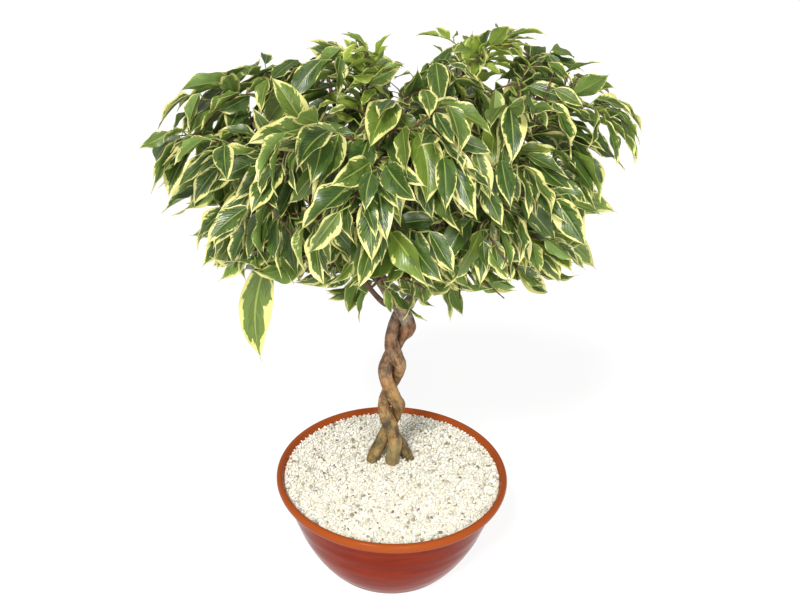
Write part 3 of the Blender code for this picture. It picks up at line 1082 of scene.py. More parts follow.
# ---------------------------------------------------------------------------------------------
# Shader helpers and shared shader groups
# ---------------------------------------------------------------------------------------------
Socket = bpy.types.NodeSocket
Colour = tuple[float, float, float]
CORK: Colour = (0.50, 0.36, 0.22)
CREASE_SHADE: Colour = (0.022, 0.011, 0.006)
CRACK_SHADE: Colour = (0.060, 0.034, 0.013)
WARM_CAST: Colour = (1.0, 0.66, 0.50)


class Graph:
    """Short calls for building a node tree."""

    def __init__(self, tree: bpy.types.NodeTree) -> None:
        """Works on one node tree."""
        self.tree = tree

    def node(self, kind: str, fed: dict[int | str, object] | None = None,
             **settings: object) -> bpy.types.Node:
        """A new node.

        Args:
            kind: Its type.
            fed: What its inputs get, by number or name.
            **settings: Its settings.

        Returns:
            The node.
        """
        made = self.tree.nodes.new(kind)
        for key, value in settings.items():
            setattr(made, key, value)
        for key, value in (fed or {}).items():
            self.feed(made.inputs[key], value)
        return made

    def feed(self, socket: Socket, value: object) -> None:
        """Links a socket to another, or sets its value.

        Args:
            socket: The socket.
            value: The other socket, or the value.
        """
        if isinstance(value, bpy.types.NodeSocket):
            self.tree.links.new(value, socket)
        elif isinstance(value, tuple) and len(value) == 3 and len(socket.default_value) == 4:
            socket.default_value = (*value, 1.0)
        else:
            socket.default_value = value

    def math(self, operation: str, *values: object) -> Socket:
        """A Math node's result."""
        return self.node("ShaderNodeMath", dict(enumerate(values)), operation=operation).outputs[0]

    def plus(self, first: object, second: object) -> Socket:
        """The sum of two values."""
        return self.math("ADD", first, second)

    def minus(self, first: object, second: object) -> Socket:
        """The difference of two values."""
        return self.math("SUBTRACT", first, second)

    def times(self, first: object, second: object) -> Socket:
        """The product of two values."""
        return self.math("MULTIPLY", first, second)

    def swing(self, value: Socket, size: float) -> Socket:
        """A value's distance from a half, made larger or smaller."""
        return self.times(self.minus(value, 0.5), size)

    def coordinates(self) -> Socket:
        """The place on the object."""
        return self.node("ShaderNodeTexCoord").outputs["Object"]

    def parts(self, vector: Socket) -> Sequence[Socket]:
        """A vector's three values."""
        return self.node("ShaderNodeSeparateXYZ", {0: vector}).outputs

    def vector(self, x: object, y: object, z: object) -> Socket:
        """A vector of three values."""
        return self.node("ShaderNodeCombineXYZ", {0: x, 1: y, 2: z}).outputs[0]

    def scaled(self, vector: Socket, sizes: Colour) -> Socket:
        """A vector multiplied by another."""
        return self.node("ShaderNodeVectorMath", {0: vector, 1: sizes}, operation="MULTIPLY").outputs[0]

    def noise(self, vector: Socket, scale: object, detail: float = 3.0, roughness: float = 0.55) -> Socket:
        """A noise texture's value, about 0.5 on average."""
        fed = {"Vector": vector, "Scale": scale, "Detail": detail, "Roughness": roughness}
        return self.node("ShaderNodeTexNoise", fed).outputs["Fac"]

    def cells(self, vector: Socket, scale: object) -> Socket:
        """The distance to the nearest of many scattered points."""
        return self.node("ShaderNodeTexVoronoi", {"Vector": vector, "Scale": scale}).outputs["Distance"]

    def step(self, value: object, low: object, high: object) -> Socket:
        """0 below low, 1 above high, and smooth between."""
        fed = {0: value, 1: low, 2: high}
        return self.node("ShaderNodeMapRange", fed, interpolation_type="SMOOTHSTEP").outputs[0]

    def edge(self, value: Socket, limit: Socket, soft: float) -> Socket:
        """0 below a limit and 1 above it, with a soft edge."""
        return self.step(value, self.minus(limit, soft), self.plus(limit, soft))

    def mix(self, share: object, first: object, second: object, blend: str = "MIX") -> Socket:
        """A mix of two colours."""
        fed = {0: share, 6: first, 7: second}
        return self.node("ShaderNodeMix", fed, data_type="RGBA", blend_type=blend).outputs[2]

    def ramp(self, share: object, stops: Sequence[tuple[float, Colour]]) -> Socket:
        """A colour ramp's colour.

        Args:
            share: The place on the ramp.
            stops: The ramp's places and colours.

        Returns:
            The colour.
        """
        made = self.node("ShaderNodeValToRGB")
        elements = made.color_ramp.elements
        while len(elements) < len(stops):
            elements.new(0.5)
        for element, (position, colour) in zip(elements, stops):
            element.position = position
            element.color = (*colour, 1.0)
        self.feed(made.inputs[0], share)
        return made.outputs[0]

    def value_of(self, name: str) -> Socket:
        """A point attribute that is one number."""
        return self.node("ShaderNodeAttribute", attribute_name=name).outputs["Fac"]

    def vector_of(self, name: str) -> Socket:
        """A point attribute that is a vector."""
        return self.node("ShaderNodeAttribute", attribute_name=name).outputs["Vector"]

    def bump(self, height: Socket, distance: float, strength: float = 1.0) -> Socket:
        """A normal from a height."""
        fed = {"Strength": strength, "Distance": distance, "Height": height}
        return self.node("ShaderNodeBump", fed).outputs[0]


class ShaderGroup:
    """A shader node group with named inputs and outputs, built once."""

    def __init__(self, name: str, inputs: dict[str, tuple[str, object]], outputs: dict[str, str]) -> None:
        """Makes the group's sockets.

        Args:
            name: The group's name.
            inputs: The type and first value of each input.
            outputs: The type of each output.
        """
        self.tree = bpy.data.node_groups.new(name, "ShaderNodeTree")
        for label, (kind, value) in inputs.items():
            made = self.tree.interface.new_socket(label, in_out="INPUT", socket_type=f"NodeSocket{kind}")
            if value is not None:
                made.default_value = value
        for label, kind in outputs.items():
            self.tree.interface.new_socket(label, in_out="OUTPUT", socket_type=f"NodeSocket{kind}")
        self.graph = Graph(self.tree)
        self.labels = tuple(inputs)
        self.inside = self.graph.node("NodeGroupInput").outputs
        self.outside = self.graph.node("NodeGroupOutput").inputs

    def values(self) -> list[Socket]:
        """The group's inputs, as its own nodes read them, in the order of their making."""
        return [self.inside[label] for label in self.labels]

    def put(self, graph: Graph, **values: object) -> bpy.types.Node:
        """Places the group in a material.

        Args:
            graph: The material's nodes.
            **values: Its inputs by name, where a space is written as an underscore.

        Returns:
            The group's node.
        """
        made = graph.node("ShaderNodeGroup", node_tree=self.tree)
        for label, value in values.items():
            graph.feed(made.inputs[label.replace("_", " ")], value)
        return made


def mottle_group() -> ShaderGroup:
    """Soft blotches with fine grain in them, for any finish.

    Returns:
        The group.
    """
    group = ShaderGroup("mottle", {
        "Place": ("Vector", None), "Scale": ("Float", 40.0), "Grain": ("Float", 0.35),
    }, {"Mask": "Float", "Fine": "Float"})
    graph, (place_there, scale, grain) = group.graph, group.values()
    broad = graph.noise(place_there, scale, 2.0)
    fine = graph.noise(place_there, graph.times(scale, 7.3), 3.0, 0.65)
    offset = graph.times(graph.minus(fine, 0.5), grain)
    graph.feed(group.outside["Mask"], graph.step(graph.plus(broad, offset), 0.34, 0.66))
    graph.feed(group.outside["Fine"], fine)
    return group


def bark_group(mottle: ShaderGroup) -> ShaderGroup:
    """Bark: drawn-out streaks along the stem, corky spots, fine rings, and painted shade in the creases and
    cracks.

    Args:
        mottle: The group for its patches.

    Returns:
        The group.
    """
    group = ShaderGroup("bark_relief", {
        "Stem Space": ("Vector", None), "Size": ("Float", 1.0), "Crease": ("Float", 0.0),
        "Light": ("Color", (0.3, 0.2, 0.1, 1.0)), "Dark": ("Color", (0.1, 0.05, 0.03, 1.0)),
    }, {"Colour": "Color", "Height": "Float"})
    graph, (space, size, crease, light, dark) = group.graph, group.values()
    streaks = graph.noise(graph.scaled(space, (1.0, 1.0, 0.34)), graph.times(size, 230.0), 5.0, 0.7)
    rings = graph.noise(graph.scaled(space, (0.30, 0.30, 1.0)), graph.times(size, 150.0), 5.0, 0.7)
    spots = graph.cells(graph.scaled(space, (1.0, 1.0, 1.7)), graph.times(size, 330.0))
    some = graph.step(graph.noise(space, graph.times(size, 140.0), 1.0), 0.50, 0.60)
    cork = graph.times(graph.step(spots, 0.30, 0.14), some)
    patches = mottle.put(graph, Place=space, Scale=70.0, Grain=0.5)
    tone = graph.step(graph.plus(graph.times(streaks, 0.55), graph.times(rings, 0.45)), 0.42, 0.58)
    tone = graph.plus(graph.times(tone, 0.60), graph.times(patches.outputs["Mask"], 0.40))
    colour = graph.mix(tone, dark, light)
    colour = graph.mix(graph.times(cork, 0.22), colour, CORK)
    # Painted shade: darkens the bark in the crease where the two stems press together and where a root leg
    # meets its stem.
    colour = graph.mix(graph.times(crease, 0.85), colour, CREASE_SHADE)
    warm = graph.step(graph.noise(space, graph.times(size, 62.0), 2.0), 0.50, 0.60)
    colour = graph.mix(graph.times(warm, 0.55), colour, WARM_CAST, "MULTIPLY")
    # Painted shade in the bark's cracks, where the streaks' relief is lowest.
    crack_shade = graph.times(graph.step(streaks, 0.47, 0.37), 0.60)
    graph.feed(group.outside["Colour"], graph.mix(crack_shade, colour, CRACK_SHADE))
    height = graph.plus(graph.times(streaks, 1.0), graph.times(rings, 0.4))
    graph.feed(group.outside["Height"], graph.plus(height, graph.times(cork, 0.35)))
    return group


def variegation_group() -> ShaderGroup:
    """A variegated leaf: green heart, grey-green flames, a jagged cream margin, midrib and veins.

    Returns:
        The group.
    """
    group = ShaderGroup("variegation", {
        "Across": ("Float", 0.5), "Along": ("Float", 0.5), "Seed": ("Float", 0.0), "Margin": ("Float", 0.8),
        "Heart": ("Color", (0.02, 0.06, 0.02, 1.0)), "Flame": ("Color", (0.06, 0.15, 0.05, 1.0)),
        "Cream": ("Color", (0.8, 0.8, 0.4, 1.0)), "Rib": ("Color", (0.3, 0.4, 0.12, 1.0)),
    }, {"Colour": "Color", "Height": "Float"})
    graph, (across, along, seed, margin, green, pale_green, cream, rib_colour) = group.graph, group.values()
    half = graph.minus(graph.times(across, 2.0), 1.0)
    reach = graph.math("ABSOLUTE", half)
    slant = graph.minus(along, graph.times(reach, 0.30))
    shifted = graph.times(seed, 61.0)
    own = graph.plus(graph.times(graph.math("SIGN", half), 3.7), shifted)
    broad = graph.noise(graph.vector(graph.times(reach, 0.6), slant, own), 2.6, 1.0)
    jag = graph.noise(graph.vector(graph.times(reach, 0.22), slant, own), 17.0, 2.0, 0.6)
    limit = graph.minus(margin, graph.times(graph.step(along, 0.58, 1.02), 0.72))
    limit = graph.plus(graph.plus(limit, graph.swing(broad, 1.45)), graph.swing(jag, 0.85))
    flame_place = graph.vector(graph.times(reach, 0.30), slant, graph.plus(own, 11.0))
    flames = graph.swing(graph.noise(flame_place, 11.0, 2.0, 0.6), 1.5)
    flame_limit = graph.plus(graph.minus(limit, 0.42), flames)
    cloud = graph.step(graph.noise(graph.vector(across, along, shifted), 5.0, 3.0), 0.30, 0.75)
    heart = graph.mix(0.62, graph.mix(cloud, green, pale_green), green)
    colour = graph.mix(graph.edge(reach, flame_limit, 0.05), heart, pale_green)
    colour = graph.mix(graph.edge(reach, limit, 0.025), colour, cream)
    wave = graph.math("PINGPONG", graph.times(slant, 13.0), 0.5)
    vein = graph.times(graph.step(wave, 0.085, 0.0), graph.step(reach, 1.0, 0.55))
    colour = graph.mix(graph.times(vein, 0.20), colour, rib_colour)
    rib_width = graph.plus(0.028, graph.times(graph.minus(1.0, along), 0.040))
    rib = graph.step(reach, graph.times(rib_width, 1.5), graph.times(rib_width, 0.6))
    graph.feed(group.outside["Colour"], graph.mix(graph.times(rib, 0.80), colour, rib_colour))
    dip = graph.plus(graph.times(rib, 0.9), graph.times(vein, 0.5))
    graph.feed(group.outside["Height"], graph.minus(graph.times(wave, 0.9), dip))
    return group


class Palette:
    """The shader groups that every finish may use, built once."""

    def __init__(self) -> None:
        """Builds the groups."""
        self.mottle = mottle_group()
        self.bark = bark_group(self.mottle)
        self.variegation = variegation_group()


def new_material(name: str, roughness: float) -> tuple[bpy.types.Material, Graph, bpy.types.Node]:
    """A material with its Principled shader.

    Args:
        name: The material's name.
        roughness: The shader's roughness.

    Returns:
        The material, its graph and its shader node.
    """
    made = bpy.data.materials.new(name)
    made.use_nodes = True
    shader = made.node_tree.nodes["Principled BSDF"]
    shader.inputs["Roughness"].default_value = roughness
    return made, Graph(made.node_tree), shader


@dataclass(frozen=True)
class LeafFinish:
    """Glossy variegated leaf, with a paler, duller underside."""

    name: str = "variegated_leaf"
    heart: Colour = (0.014, 0.041, 0.007)
    flame: Colour = (0.070, 0.120, 0.022)
    cream: Colour = (0.700, 0.660, 0.250)
    rib: Colour = (0.270, 0.350, 0.065)
    underside_heart: Colour = (0.095, 0.165, 0.032)
    underside_flame: Colour = (0.170, 0.255, 0.055)
    young_tint: Colour = (0.400, 0.520, 0.055)
    young_share: float = 0.62
    shade_share: float = 0.45
    margin: float = 0.91
    margin_spread: float = 0.42
    relief: float = 0.00022
    roughness: float = 0.25
    underside_roughness: float = 0.25
    subsurface: float = 0.12

    def build(self, palette: Palette) -> bpy.types.Material:
        """The leaf material.

        Args:
            palette: The shared shader groups.

        Returns:
            The material.
        """
        made, graph, shader = new_material(self.name, self.roughness)
        across, along, _ = graph.parts(graph.node("ShaderNodeUVMap", uv_map="leaf_uv").outputs[0])
        seed, under = graph.value_of("leaf_seed"), graph.value_of("underside")
        flame = graph.mix(under, self.flame, self.underside_flame)
        shade = graph.math("FRACT", graph.times(seed, 17.0))
        heart = graph.mix(under, self.heart, self.underside_heart)
        heart = graph.mix(graph.times(shade, self.shade_share), heart, flame)
        marked = palette.variegation.put(
            graph, Across=across, Along=along, Seed=seed, Heart=heart, Flame=flame, Cream=self.cream,
            Rib=self.rib, Margin=graph.plus(self.margin, graph.swing(shade, self.margin_spread)))
        young = graph.times(graph.value_of("leaf_youth"), self.young_share)
        colour = graph.mix(young, marked.outputs["Colour"], self.young_tint)
        graph.feed(shader.inputs["Base Color"], colour)
        spots = palette.mottle.put(graph, Place=graph.coordinates(), Scale=90.0, Grain=0.4)
        dull = graph.plus(self.roughness, graph.times(under, self.underside_roughness))
        dull = graph.plus(dull, graph.times(spots.outputs["Fine"], 0.14))
        graph.feed(shader.inputs["Roughness"], dull)
        graph.feed(shader.inputs["Normal"], graph.bump(marked.outputs["Height"], self.relief, 0.6))
        shader.inputs["Subsurface Weight"].default_value = self.subsurface
        shader.inputs["Subsurface Radius"].default_value = (0.6, 1.0, 0.25)
        shader.inputs["Subsurface Scale"].default_value = 0.0015
        return made


@dataclass(frozen=True)
class BarkFinish:
    """Bark whose colour changes with height, from weathered feet to fresh wood."""

    name: str
    levels: tuple
    dark_share: float = 0.13
    size: float = 1.0
    relief: float = 0.0012
    roughness: float = 0.62
    level_spread: float = 0.045
    pale: Colour = (0.40, 0.30, 0.13)
    pale_share: float = 0.45

    def by_height(self, graph: Graph, share: Socket, brightness: float) -> Socket:
        """The colour for a height.

        Args:
            graph: The material's nodes.
            share: The height, from 0 at the lowest level to 1 at the highest.
            brightness: What the colours are multiplied by.

        Returns:
            The colour.
        """
        lowest, highest = self.levels[0][0], self.levels[-1][0]
        return graph.ramp(share, [((z - lowest) / (highest - lowest), tuple(c * brightness for c in colour))
                                  for z, colour in self.levels])

    def build(self, palette: Palette) -> bpy.types.Material:
        """The bark material.

        Args:
            palette: The shared shader groups.

        Returns:
            The material.
        """
        made, graph, shader = new_material(self.name, self.roughness)
        coordinates = graph.coordinates()
        patches = palette.mottle.put(graph, Place=coordinates, Scale=60.0, Grain=0.6)
        spread = graph.swing(patches.outputs["Mask"], self.level_spread)
        height = graph.plus(graph.parts(coordinates)[2], spread)
        lowest, highest = self.levels[0][0], self.levels[-1][0]
        share = graph.math("DIVIDE", graph.minus(height, lowest), highest - lowest)
        bark = palette.bark.put(graph, Stem_Space=graph.vector_of("stem_space"), Size=self.size,
                                Crease=graph.value_of("crease"), Light=self.by_height(graph, share, 1.0),
                                Dark=self.by_height(graph, share, self.dark_share))
        pale = graph.times(graph.value_of("pale"), self.pale_share)
        graph.feed(shader.inputs["Base Color"], graph.mix(pale, bark.outputs["Colour"], self.pale))
        graph.feed(shader.inputs["Normal"], graph.bump(bark.outputs["Height"], self.relief))
        return made


TRUNK_BARK = BarkFinish("trunk_bark", (
    (0.100, (0.18, 0.13, 0.038)), (0.135, (0.28, 0.19, 0.055)), (0.170, (0.38, 0.22, 0.070)),
    (0.225, (0.40, 0.22, 0.090)), (0.270, (0.37, 0.21, 0.120)), (0.292, (0.38, 0.31, 0.230)),
    (0.330, (0.30, 0.19, 0.12)), (0.400, (0.22, 0.11, 0.065)),
))
TWIG_BARK = BarkFinish("twig_bark", ((0.280, (0.15, 0.065, 0.035)), (0.560, (0.19, 0.085, 0.045))),
                       size=2.2, relief=0.0003)


@dataclass(frozen=True)
class GlazeFinish:
    """Thick glossy glaze over red clay, lighter and more orange on the lip, with whitish patches low on the
    wall.
    """

    name: str = "red_glaze"
    deep: Colour = (0.145, 0.010, 0.002)
    bright: Colour = (0.225, 0.021, 0.003)
    lip: Colour = (0.330, 0.072, 0.015)
    speck: Colour = (0.10, 0.016, 0.010)
    pale_patch: Colour = (0.520, 0.300, 0.190)
    lip_share: float = 0.85
    speck_share: float = 0.45
    pale_patch_share: float = 0.5
    foot_share: float = 0.12
    roughness: float = 0.13
    specular: float = 0.05

    def pale_mask(self, graph: Graph, coordinates: Socket, height: Socket) -> Socket:
        """Where the bowl is paler: whitish patches low on the wall, and a band at the foot.

        Args:
            graph: The material's nodes.
            coordinates: The place on the bowl.
            height: The height on the bowl.

        Returns:
            The mask.
        """
        patch_noise = graph.noise(graph.scaled(coordinates, (1.0, 1.0, 2.4)), 230.0, 4.0, 0.7)
        zone = graph.step(graph.noise(coordinates, 21.0, 1.0), 0.52, 0.66)
        low = graph.step(height, 0.070, 0.020)
        # Whitish, rougher patches low on the wall.
        pale_patches = graph.times(graph.step(patch_noise, 0.63, 0.74), graph.times(zone, low))
        foot = graph.times(graph.step(height, 0.010, 0.001), self.foot_share)
        return graph.math("MAXIMUM", graph.times(pale_patches, self.pale_patch_share), foot)

    def build(self, palette: Palette) -> bpy.types.Material:
        """The glaze material.

        Args:
            palette: The shared shader groups.

        Returns:
            The material.
        """
        made, graph, shader = new_material(self.name, self.roughness)
        coordinates = graph.coordinates()
        height = graph.parts(coordinates)[2]
        drawn = graph.scaled(coordinates, (1.0, 1.0, 3.2))
        pooled = palette.mottle.put(graph, Place=drawn, Scale=26.0, Grain=0.5)
        soft = graph.plus(0.25, graph.times(pooled.outputs["Mask"], 0.5))
        colour = graph.mix(soft, self.deep, self.bright)
        wobble = graph.swing(pooled.outputs["Fine"], 0.004)
        lip_low = BOWL.height - BOWL.lip_height
        # A lighter, more orange band on the lip.
        on_lip = graph.step(graph.plus(height, wobble), lip_low - 0.001, lip_low + 0.004)
        colour = graph.mix(graph.times(on_lip, self.lip_share), colour, self.lip)
        specks = palette.mottle.put(graph, Place=coordinates, Scale=420.0, Grain=0.2)
        dark_specks = graph.step(specks.outputs["Fine"], 0.66, 0.74)
        colour = graph.mix(graph.times(dark_specks, self.speck_share), colour, self.speck)
        pale_mask = self.pale_mask(graph, coordinates, height)
        graph.feed(shader.inputs["Base Color"], graph.mix(pale_mask, colour, self.pale_patch))
        rough = graph.plus(self.roughness, graph.times(pale_mask, 0.5))
        rough = graph.plus(rough, graph.times(pooled.outputs["Mask"], 0.06))
        graph.feed(shader.inputs["Roughness"], rough)
        waves = graph.noise(graph.scaled(coordinates, (0.35, 0.35, 2.2)), 60.0, 2.0, 0.4)
        dimples = graph.plus(waves, graph.times(specks.outputs["Mask"], 0.05))
        graph.feed(shader.inputs["Normal"], graph.bump(dimples, 0.0006, 0.6))
        shader.inputs["Specular IOR Level"].default_value = self.specular
        return made


@dataclass(frozen=True)
class StoneFinish:
    """Crushed stone whose tone changes from stone to stone."""

    name: str = "crushed_stone"
    tones: tuple = (
        (0.00, (0.88, 0.87, 0.82)), (0.42, (0.86, 0.84, 0.75)), (0.66, (0.80, 0.76, 0.61)),
        (0.78, (0.90, 0.89, 0.86)), (0.87, (0.50, 0.49, 0.44)), (0.92, (0.36, 0.30, 0.21)),
        (0.945, (0.15, 0.13, 0.10)), (0.97, (0.89, 0.87, 0.82)),
    )
    vein: Colour = (0.66, 0.56, 0.40)
    speck: Colour = (0.24, 0.20, 0.17)

    def build(self, palette: Palette) -> bpy.types.Material:
        """The stone material.

        Args:
            palette: The shared shader groups.

        Returns:
            The material.
        """
        made, graph, shader = new_material(self.name, 0.70)
        base = graph.ramp(graph.value_of("stone_tone"), self.tones)
        veins = palette.mottle.put(graph, Place=graph.coordinates(), Scale=310.0, Grain=0.7)
        colour = graph.mix(graph.times(veins.outputs["Mask"], 0.12), base, self.vein)
        specks = graph.step(veins.outputs["Fine"], 0.66, 0.74)
        graph.feed(shader.inputs["Base Color"], graph.mix(graph.times(specks, 0.18), colour, self.speck))
        graph.feed(shader.inputs["Normal"], graph.bump(veins.outputs["Fine"], 0.0003, 0.7))
        return made


@dataclass(frozen=True)
class SoilFinish:
    """Dark potting soil with fibres and crumbs."""

    name: str = "potting_soil"
    dark: Colour = (0.030, 0.018, 0.010)
    light: Colour = (0.105, 0.062, 0.034)

    def build(self, palette: Palette) -> bpy.types.Material:
        """The soil material.

        Args:
            palette: The shared shader groups.

        Returns:
            The material.
        """
        made, graph, shader = new_material(self.name, 0.95)
        crumbs = palette.mottle.put(graph, Place=graph.coordinates(), Scale=190.0, Grain=0.8)
        graph.feed(shader.inputs["Base Color"], graph.mix(crumbs.outputs["Mask"], self.dark, self.light))
        graph.feed(shader.inputs["Normal"], graph.bump(crumbs.outputs["Fine"], 0.0012))
        return made


# ---------------------------------------------------------------------------------------------
# The bowl and what fills it
# ---------------------------------------------------------------------------------------------
@dataclass
class BowlShell:
    """The glazed bowl: a turned wall with throwing rings and a rounded lip."""

    sides: int = 160
    ring_height: float = 0.0034
    ring_depth: float = 0.00016
    step: float = 0.0012
    unevenness: float = 0.00018
    outside: tuple = ((0.1154, 0.0944), (0.1128, 0.0925), (0.1100, 0.085), (0.1040, 0.065), (0.0970, 0.045),
                      (0.0890, 0.027), (0.0800, 0.012), (0.0735, 0.0032), (0.0712, 0.0006), (0.0700, 0.0))

    def profile(self) -> np.ndarray:
        """The profile from the middle of the floor inside, over the lip, to the middle of the base.

        Returns:
            An array of radii and heights.
        """
        floor = BOWL.floor
        inner_foot = BOWL.inner_radius(floor)
        inside = [(0.0, floor), (inner_foot * 0.5, floor), (inner_foot, floor + 0.0002)]
        inside += [(BOWL.inner_radius(floor + (BOWL.height - floor) * s), floor + (BOWL.height - floor) * s)
                   for s in (0.05, 0.12, 0.25, 0.4, 0.55, 0.7, 0.85, 0.93)]
        rim, top = BOWL.rim_radius, BOWL.height
        lip = [(rim - 0.0060, top - 0.0026), (rim - 0.0055, top - 0.0009), (rim - 0.0042, top - 0.0001),
               (rim - 0.0028, top - 0.0002), (rim - 0.0011, top - 0.0014), (rim - 0.0001, top - 0.0038),
               (rim - 0.0002, top - 0.0066), (rim - 0.0012, top - 0.0089), (rim - 0.0030, top - 0.0102)]
        knots = [Vector((r, 0.0, z)) for r, z in (*inside, *lip, *self.outside)]
        smooth = spline_points(knots, 5)
        return np.array([(p.x, p.z) for p in smooth] + [(0.0, 0.0)])

    def build(self, finish: bpy.types.Material) -> None:
        """Makes the bowl.

        Args:
            finish: The glaze.
        """
        profile = self.profile()
        angles = np.linspace(0.0, math.tau, self.sides, endpoint=False)
        batch = MeshBatch()
        rows = []
        lip_low = BOWL.height - BOWL.lip_height
        for index, (radius, height) in enumerate(profile):
            outside = index > len(profile) * 0.55 and radius > BOWL.base_radius
            rings = self.ring_depth * math.sin(math.tau * height / self.ring_height) if outside else 0.0
            rings *= 1.0 if height < lip_low else 0.25
            uneven = self.unevenness * np.sin(angles * 3.0 + height * 60.0) * (1.0 if outside else 0.0)
            around = max(radius, 0.0) + rings + uneven
            rows.append(np.stack([around * np.cos(angles), around * np.sin(angles),
                                  np.full(self.sides, height)], axis=1))
        middle_rows = np.concatenate(rows[1:-1])
        count = len(rows) - 2
        vertices = np.concatenate([middle_rows, [[0.0, 0.0, profile[0][1]], [0.0, 0.0, 0.0]]])
        faces = ring_faces(count - 1, self.sides, inward=True)
        centre, base = len(middle_rows), len(middle_rows) + 1
        last = (count - 1) * self.sides
        for k in range(self.sides):
            nxt = (k + 1) % self.sides
            faces.append((centre, k, nxt))
            faces.append((base, last + nxt, last + k))
        batch.add(vertices, faces)
        place("bowl", batch.mesh("bowl", "bowl_uv", math.radians(50)), finish, Slot.BOWL, "pot")


@dataclass
class GravelBed:
    """The top dressing: a rough bed, and loose crushed stones over it."""

    seed: int = 5
    templates: int = 48
    corners: int = 14
    smallest: float = 0.0028
    largest: float = 0.0062
    attempts: int = 26000
    sectors: int = 4
    bed_rings: int = 44
    bed_sides: int = 150
    bed_drop: float = 0.0028
    sunk: float = 0.30
    tilt: float = 0.45
    lift: tuple = (-0.0006, 0.0009)
    layers: tuple = ((0.0, 0.84), (-0.0012, 0.76), (-0.0022, 0.76))

    def bed(self, finish: bpy.types.Material) -> None:
        """Makes the bed under the stones.

        Args:
            finish: The stone.
        """
        edge = BOWL.inner_radius(BOWL.height - BOWL.gravel_edge_drop) - 0.0006
        rings, sides = self.bed_rings, self.bed_sides
        vertices = []
        for row in range(rings + 1):
            for k in range(sides):
                radius = edge * row / rings
                x, y = radius * math.cos(math.tau * k / sides), radius * math.sin(math.tau * k / sides)
                rough = noise.noise(Vector((x, y, 0.0)) * 420.0) * 0.0008
                vertices.append((x, y, BOWL.gravel_height(radius) - self.bed_drop + rough))
        low = len(vertices)
        bottom = BOWL.height - BOWL.gravel_depth
        foot = BOWL.inner_radius(bottom) - 0.0018
        vertices += [(foot * math.cos(math.tau * k / sides), foot * math.sin(math.tau * k / sides), bottom)
                     for k in range(sides)]
        faces = ring_faces(rings + 1, sides, inward=True)
        faces.append(tuple(reversed(range(low, low + sides))))
        batch = MeshBatch()
        batch.add(np.array(vertices), faces, stone_tone=0.60)
        mesh = batch.mesh("gravel_bed", "stone_uv", math.radians(40))
        place("gravel_bed", mesh, finish, Slot.GRAVEL, "gravel")

    def stone_shapes(self, rng: random.Random) -> list[tuple[np.ndarray, list[tuple[int, ...]]]]:
        """Angular stones of unit size: convex hulls of points round a flattened ball.

        Args:
            rng: The source of random numbers.

        Returns:
            Vertices and faces of each.
        """
        shapes = []
        for _ in range(self.templates):
            bm = bmesh.new()
            flat = (rng.uniform(0.75, 1.15), rng.uniform(0.65, 1.0), rng.uniform(0.45, 0.8))
            for _ in range(self.corners):
                point = Vector([rng.gauss(0.0, 1.0) for _ in range(3)]).normalized()
                point *= rng.uniform(0.82, 1.0)
                bm.verts.new([point[k] * flat[k] * 0.5 for k in range(3)])
            hull = bmesh.ops.convex_hull(bm, input=bm.verts)
            loose = [item for item in hull["geom_interior"] if isinstance(item, bmesh.types.BMVert)]
            bmesh.ops.delete(bm, geom=loose, context="VERTS")
            bmesh.ops.recalc_face_normals(bm, faces=bm.faces)
            bm.verts.index_update()
            vertices = np.array([tuple(v.co) for v in bm.verts])
            shapes.append((vertices, [tuple(v.index for v in f.verts) for f in bm.faces]))
            bm.free()
        return shapes

    def spots(self, rng: random.Random, closeness: float, legs: list[tuple[Vector, float]]) -> list:
        """Places for stones that keep their distance from each other.

        Args:
            rng: The source of random numbers.
            closeness: The least distance, as a share of the stones' mean size.
            legs: Middle and radius of each root leg at the surface.

        Returns:
            A list of x, y and size.
        """
        edge = BOWL.inner_radius(BOWL.height - BOWL.gravel_edge_drop)
        cell = self.largest
        taken: dict[tuple[int, int], list] = {}
        found = []
        for _ in range(self.attempts):
            size = self.smallest + (self.largest - self.smallest) * rng.random() ** 1.5
            radius = (edge - 0.5 * size) * math.sqrt(rng.random())
            angle = rng.random() * math.tau
            x, y = radius * math.cos(angle), radius * math.sin(angle)
            key = (int(x // cell), int(y // cell))
            near = [other for i in (-1, 0, 1) for j in (-1, 0, 1)
                    for other in taken.get((key[0] + i, key[1] + j), [])]
            if any(math.hypot(x - ox, y - oy) < closeness * 0.5 * (size + other) for ox, oy, other in near):
                continue
            if any(math.hypot(x - leg.x, y - leg.y) < reach + 0.35 * size for leg, reach in legs):
                continue
            taken.setdefault(key, []).append((x, y, size))
            found.append((x, y, size))
        return found

    def build(self, finish: bpy.types.Material, legs: list[tuple[Vector, float]]) -> int:
        """Makes the bed and the stones.

        Args:
            finish: The stone.
            legs: Middle and radius of each root leg at the surface.

        Returns:
            How many stones there are.
        """
        rng = random.Random(self.seed)
        self.bed(finish)
        shapes = self.stone_shapes(rng)
        batches = [MeshBatch() for _ in range(self.sectors)]
        total = 0
        for drop, closeness in self.layers:
            for x, y, size in self.spots(rng, closeness, legs):
                vertices, faces = shapes[rng.randrange(len(shapes))]
                turn = Matrix.Rotation(rng.random() * math.tau, 3, "Z")
                turn = turn @ Matrix.Rotation(rng.gauss(0.0, self.tilt), 3, "X")
                turn = turn @ Matrix.Rotation(rng.gauss(0.0, self.tilt), 3, "Y")
                height = BOWL.gravel_height(math.hypot(x, y)) - self.sunk * size + drop
                height += rng.uniform(*self.lift)
                placed = vertices @ np.array(turn).T * size * 1.12 + np.array([x, y, height])
                sector = int((math.atan2(y, x) + math.pi) / math.tau * self.sectors) % self.sectors
                batches[sector].add(placed, faces, stone_tone=rng.random())
                total += 1
        for number, batch in enumerate(batches):
            mesh = batch.mesh(f"gravel_{number + 1}", "stone_uv", math.radians(24))
            place(f"gravel_{number + 1}", mesh, finish, Slot.GRAVEL, "gravel")
        return total


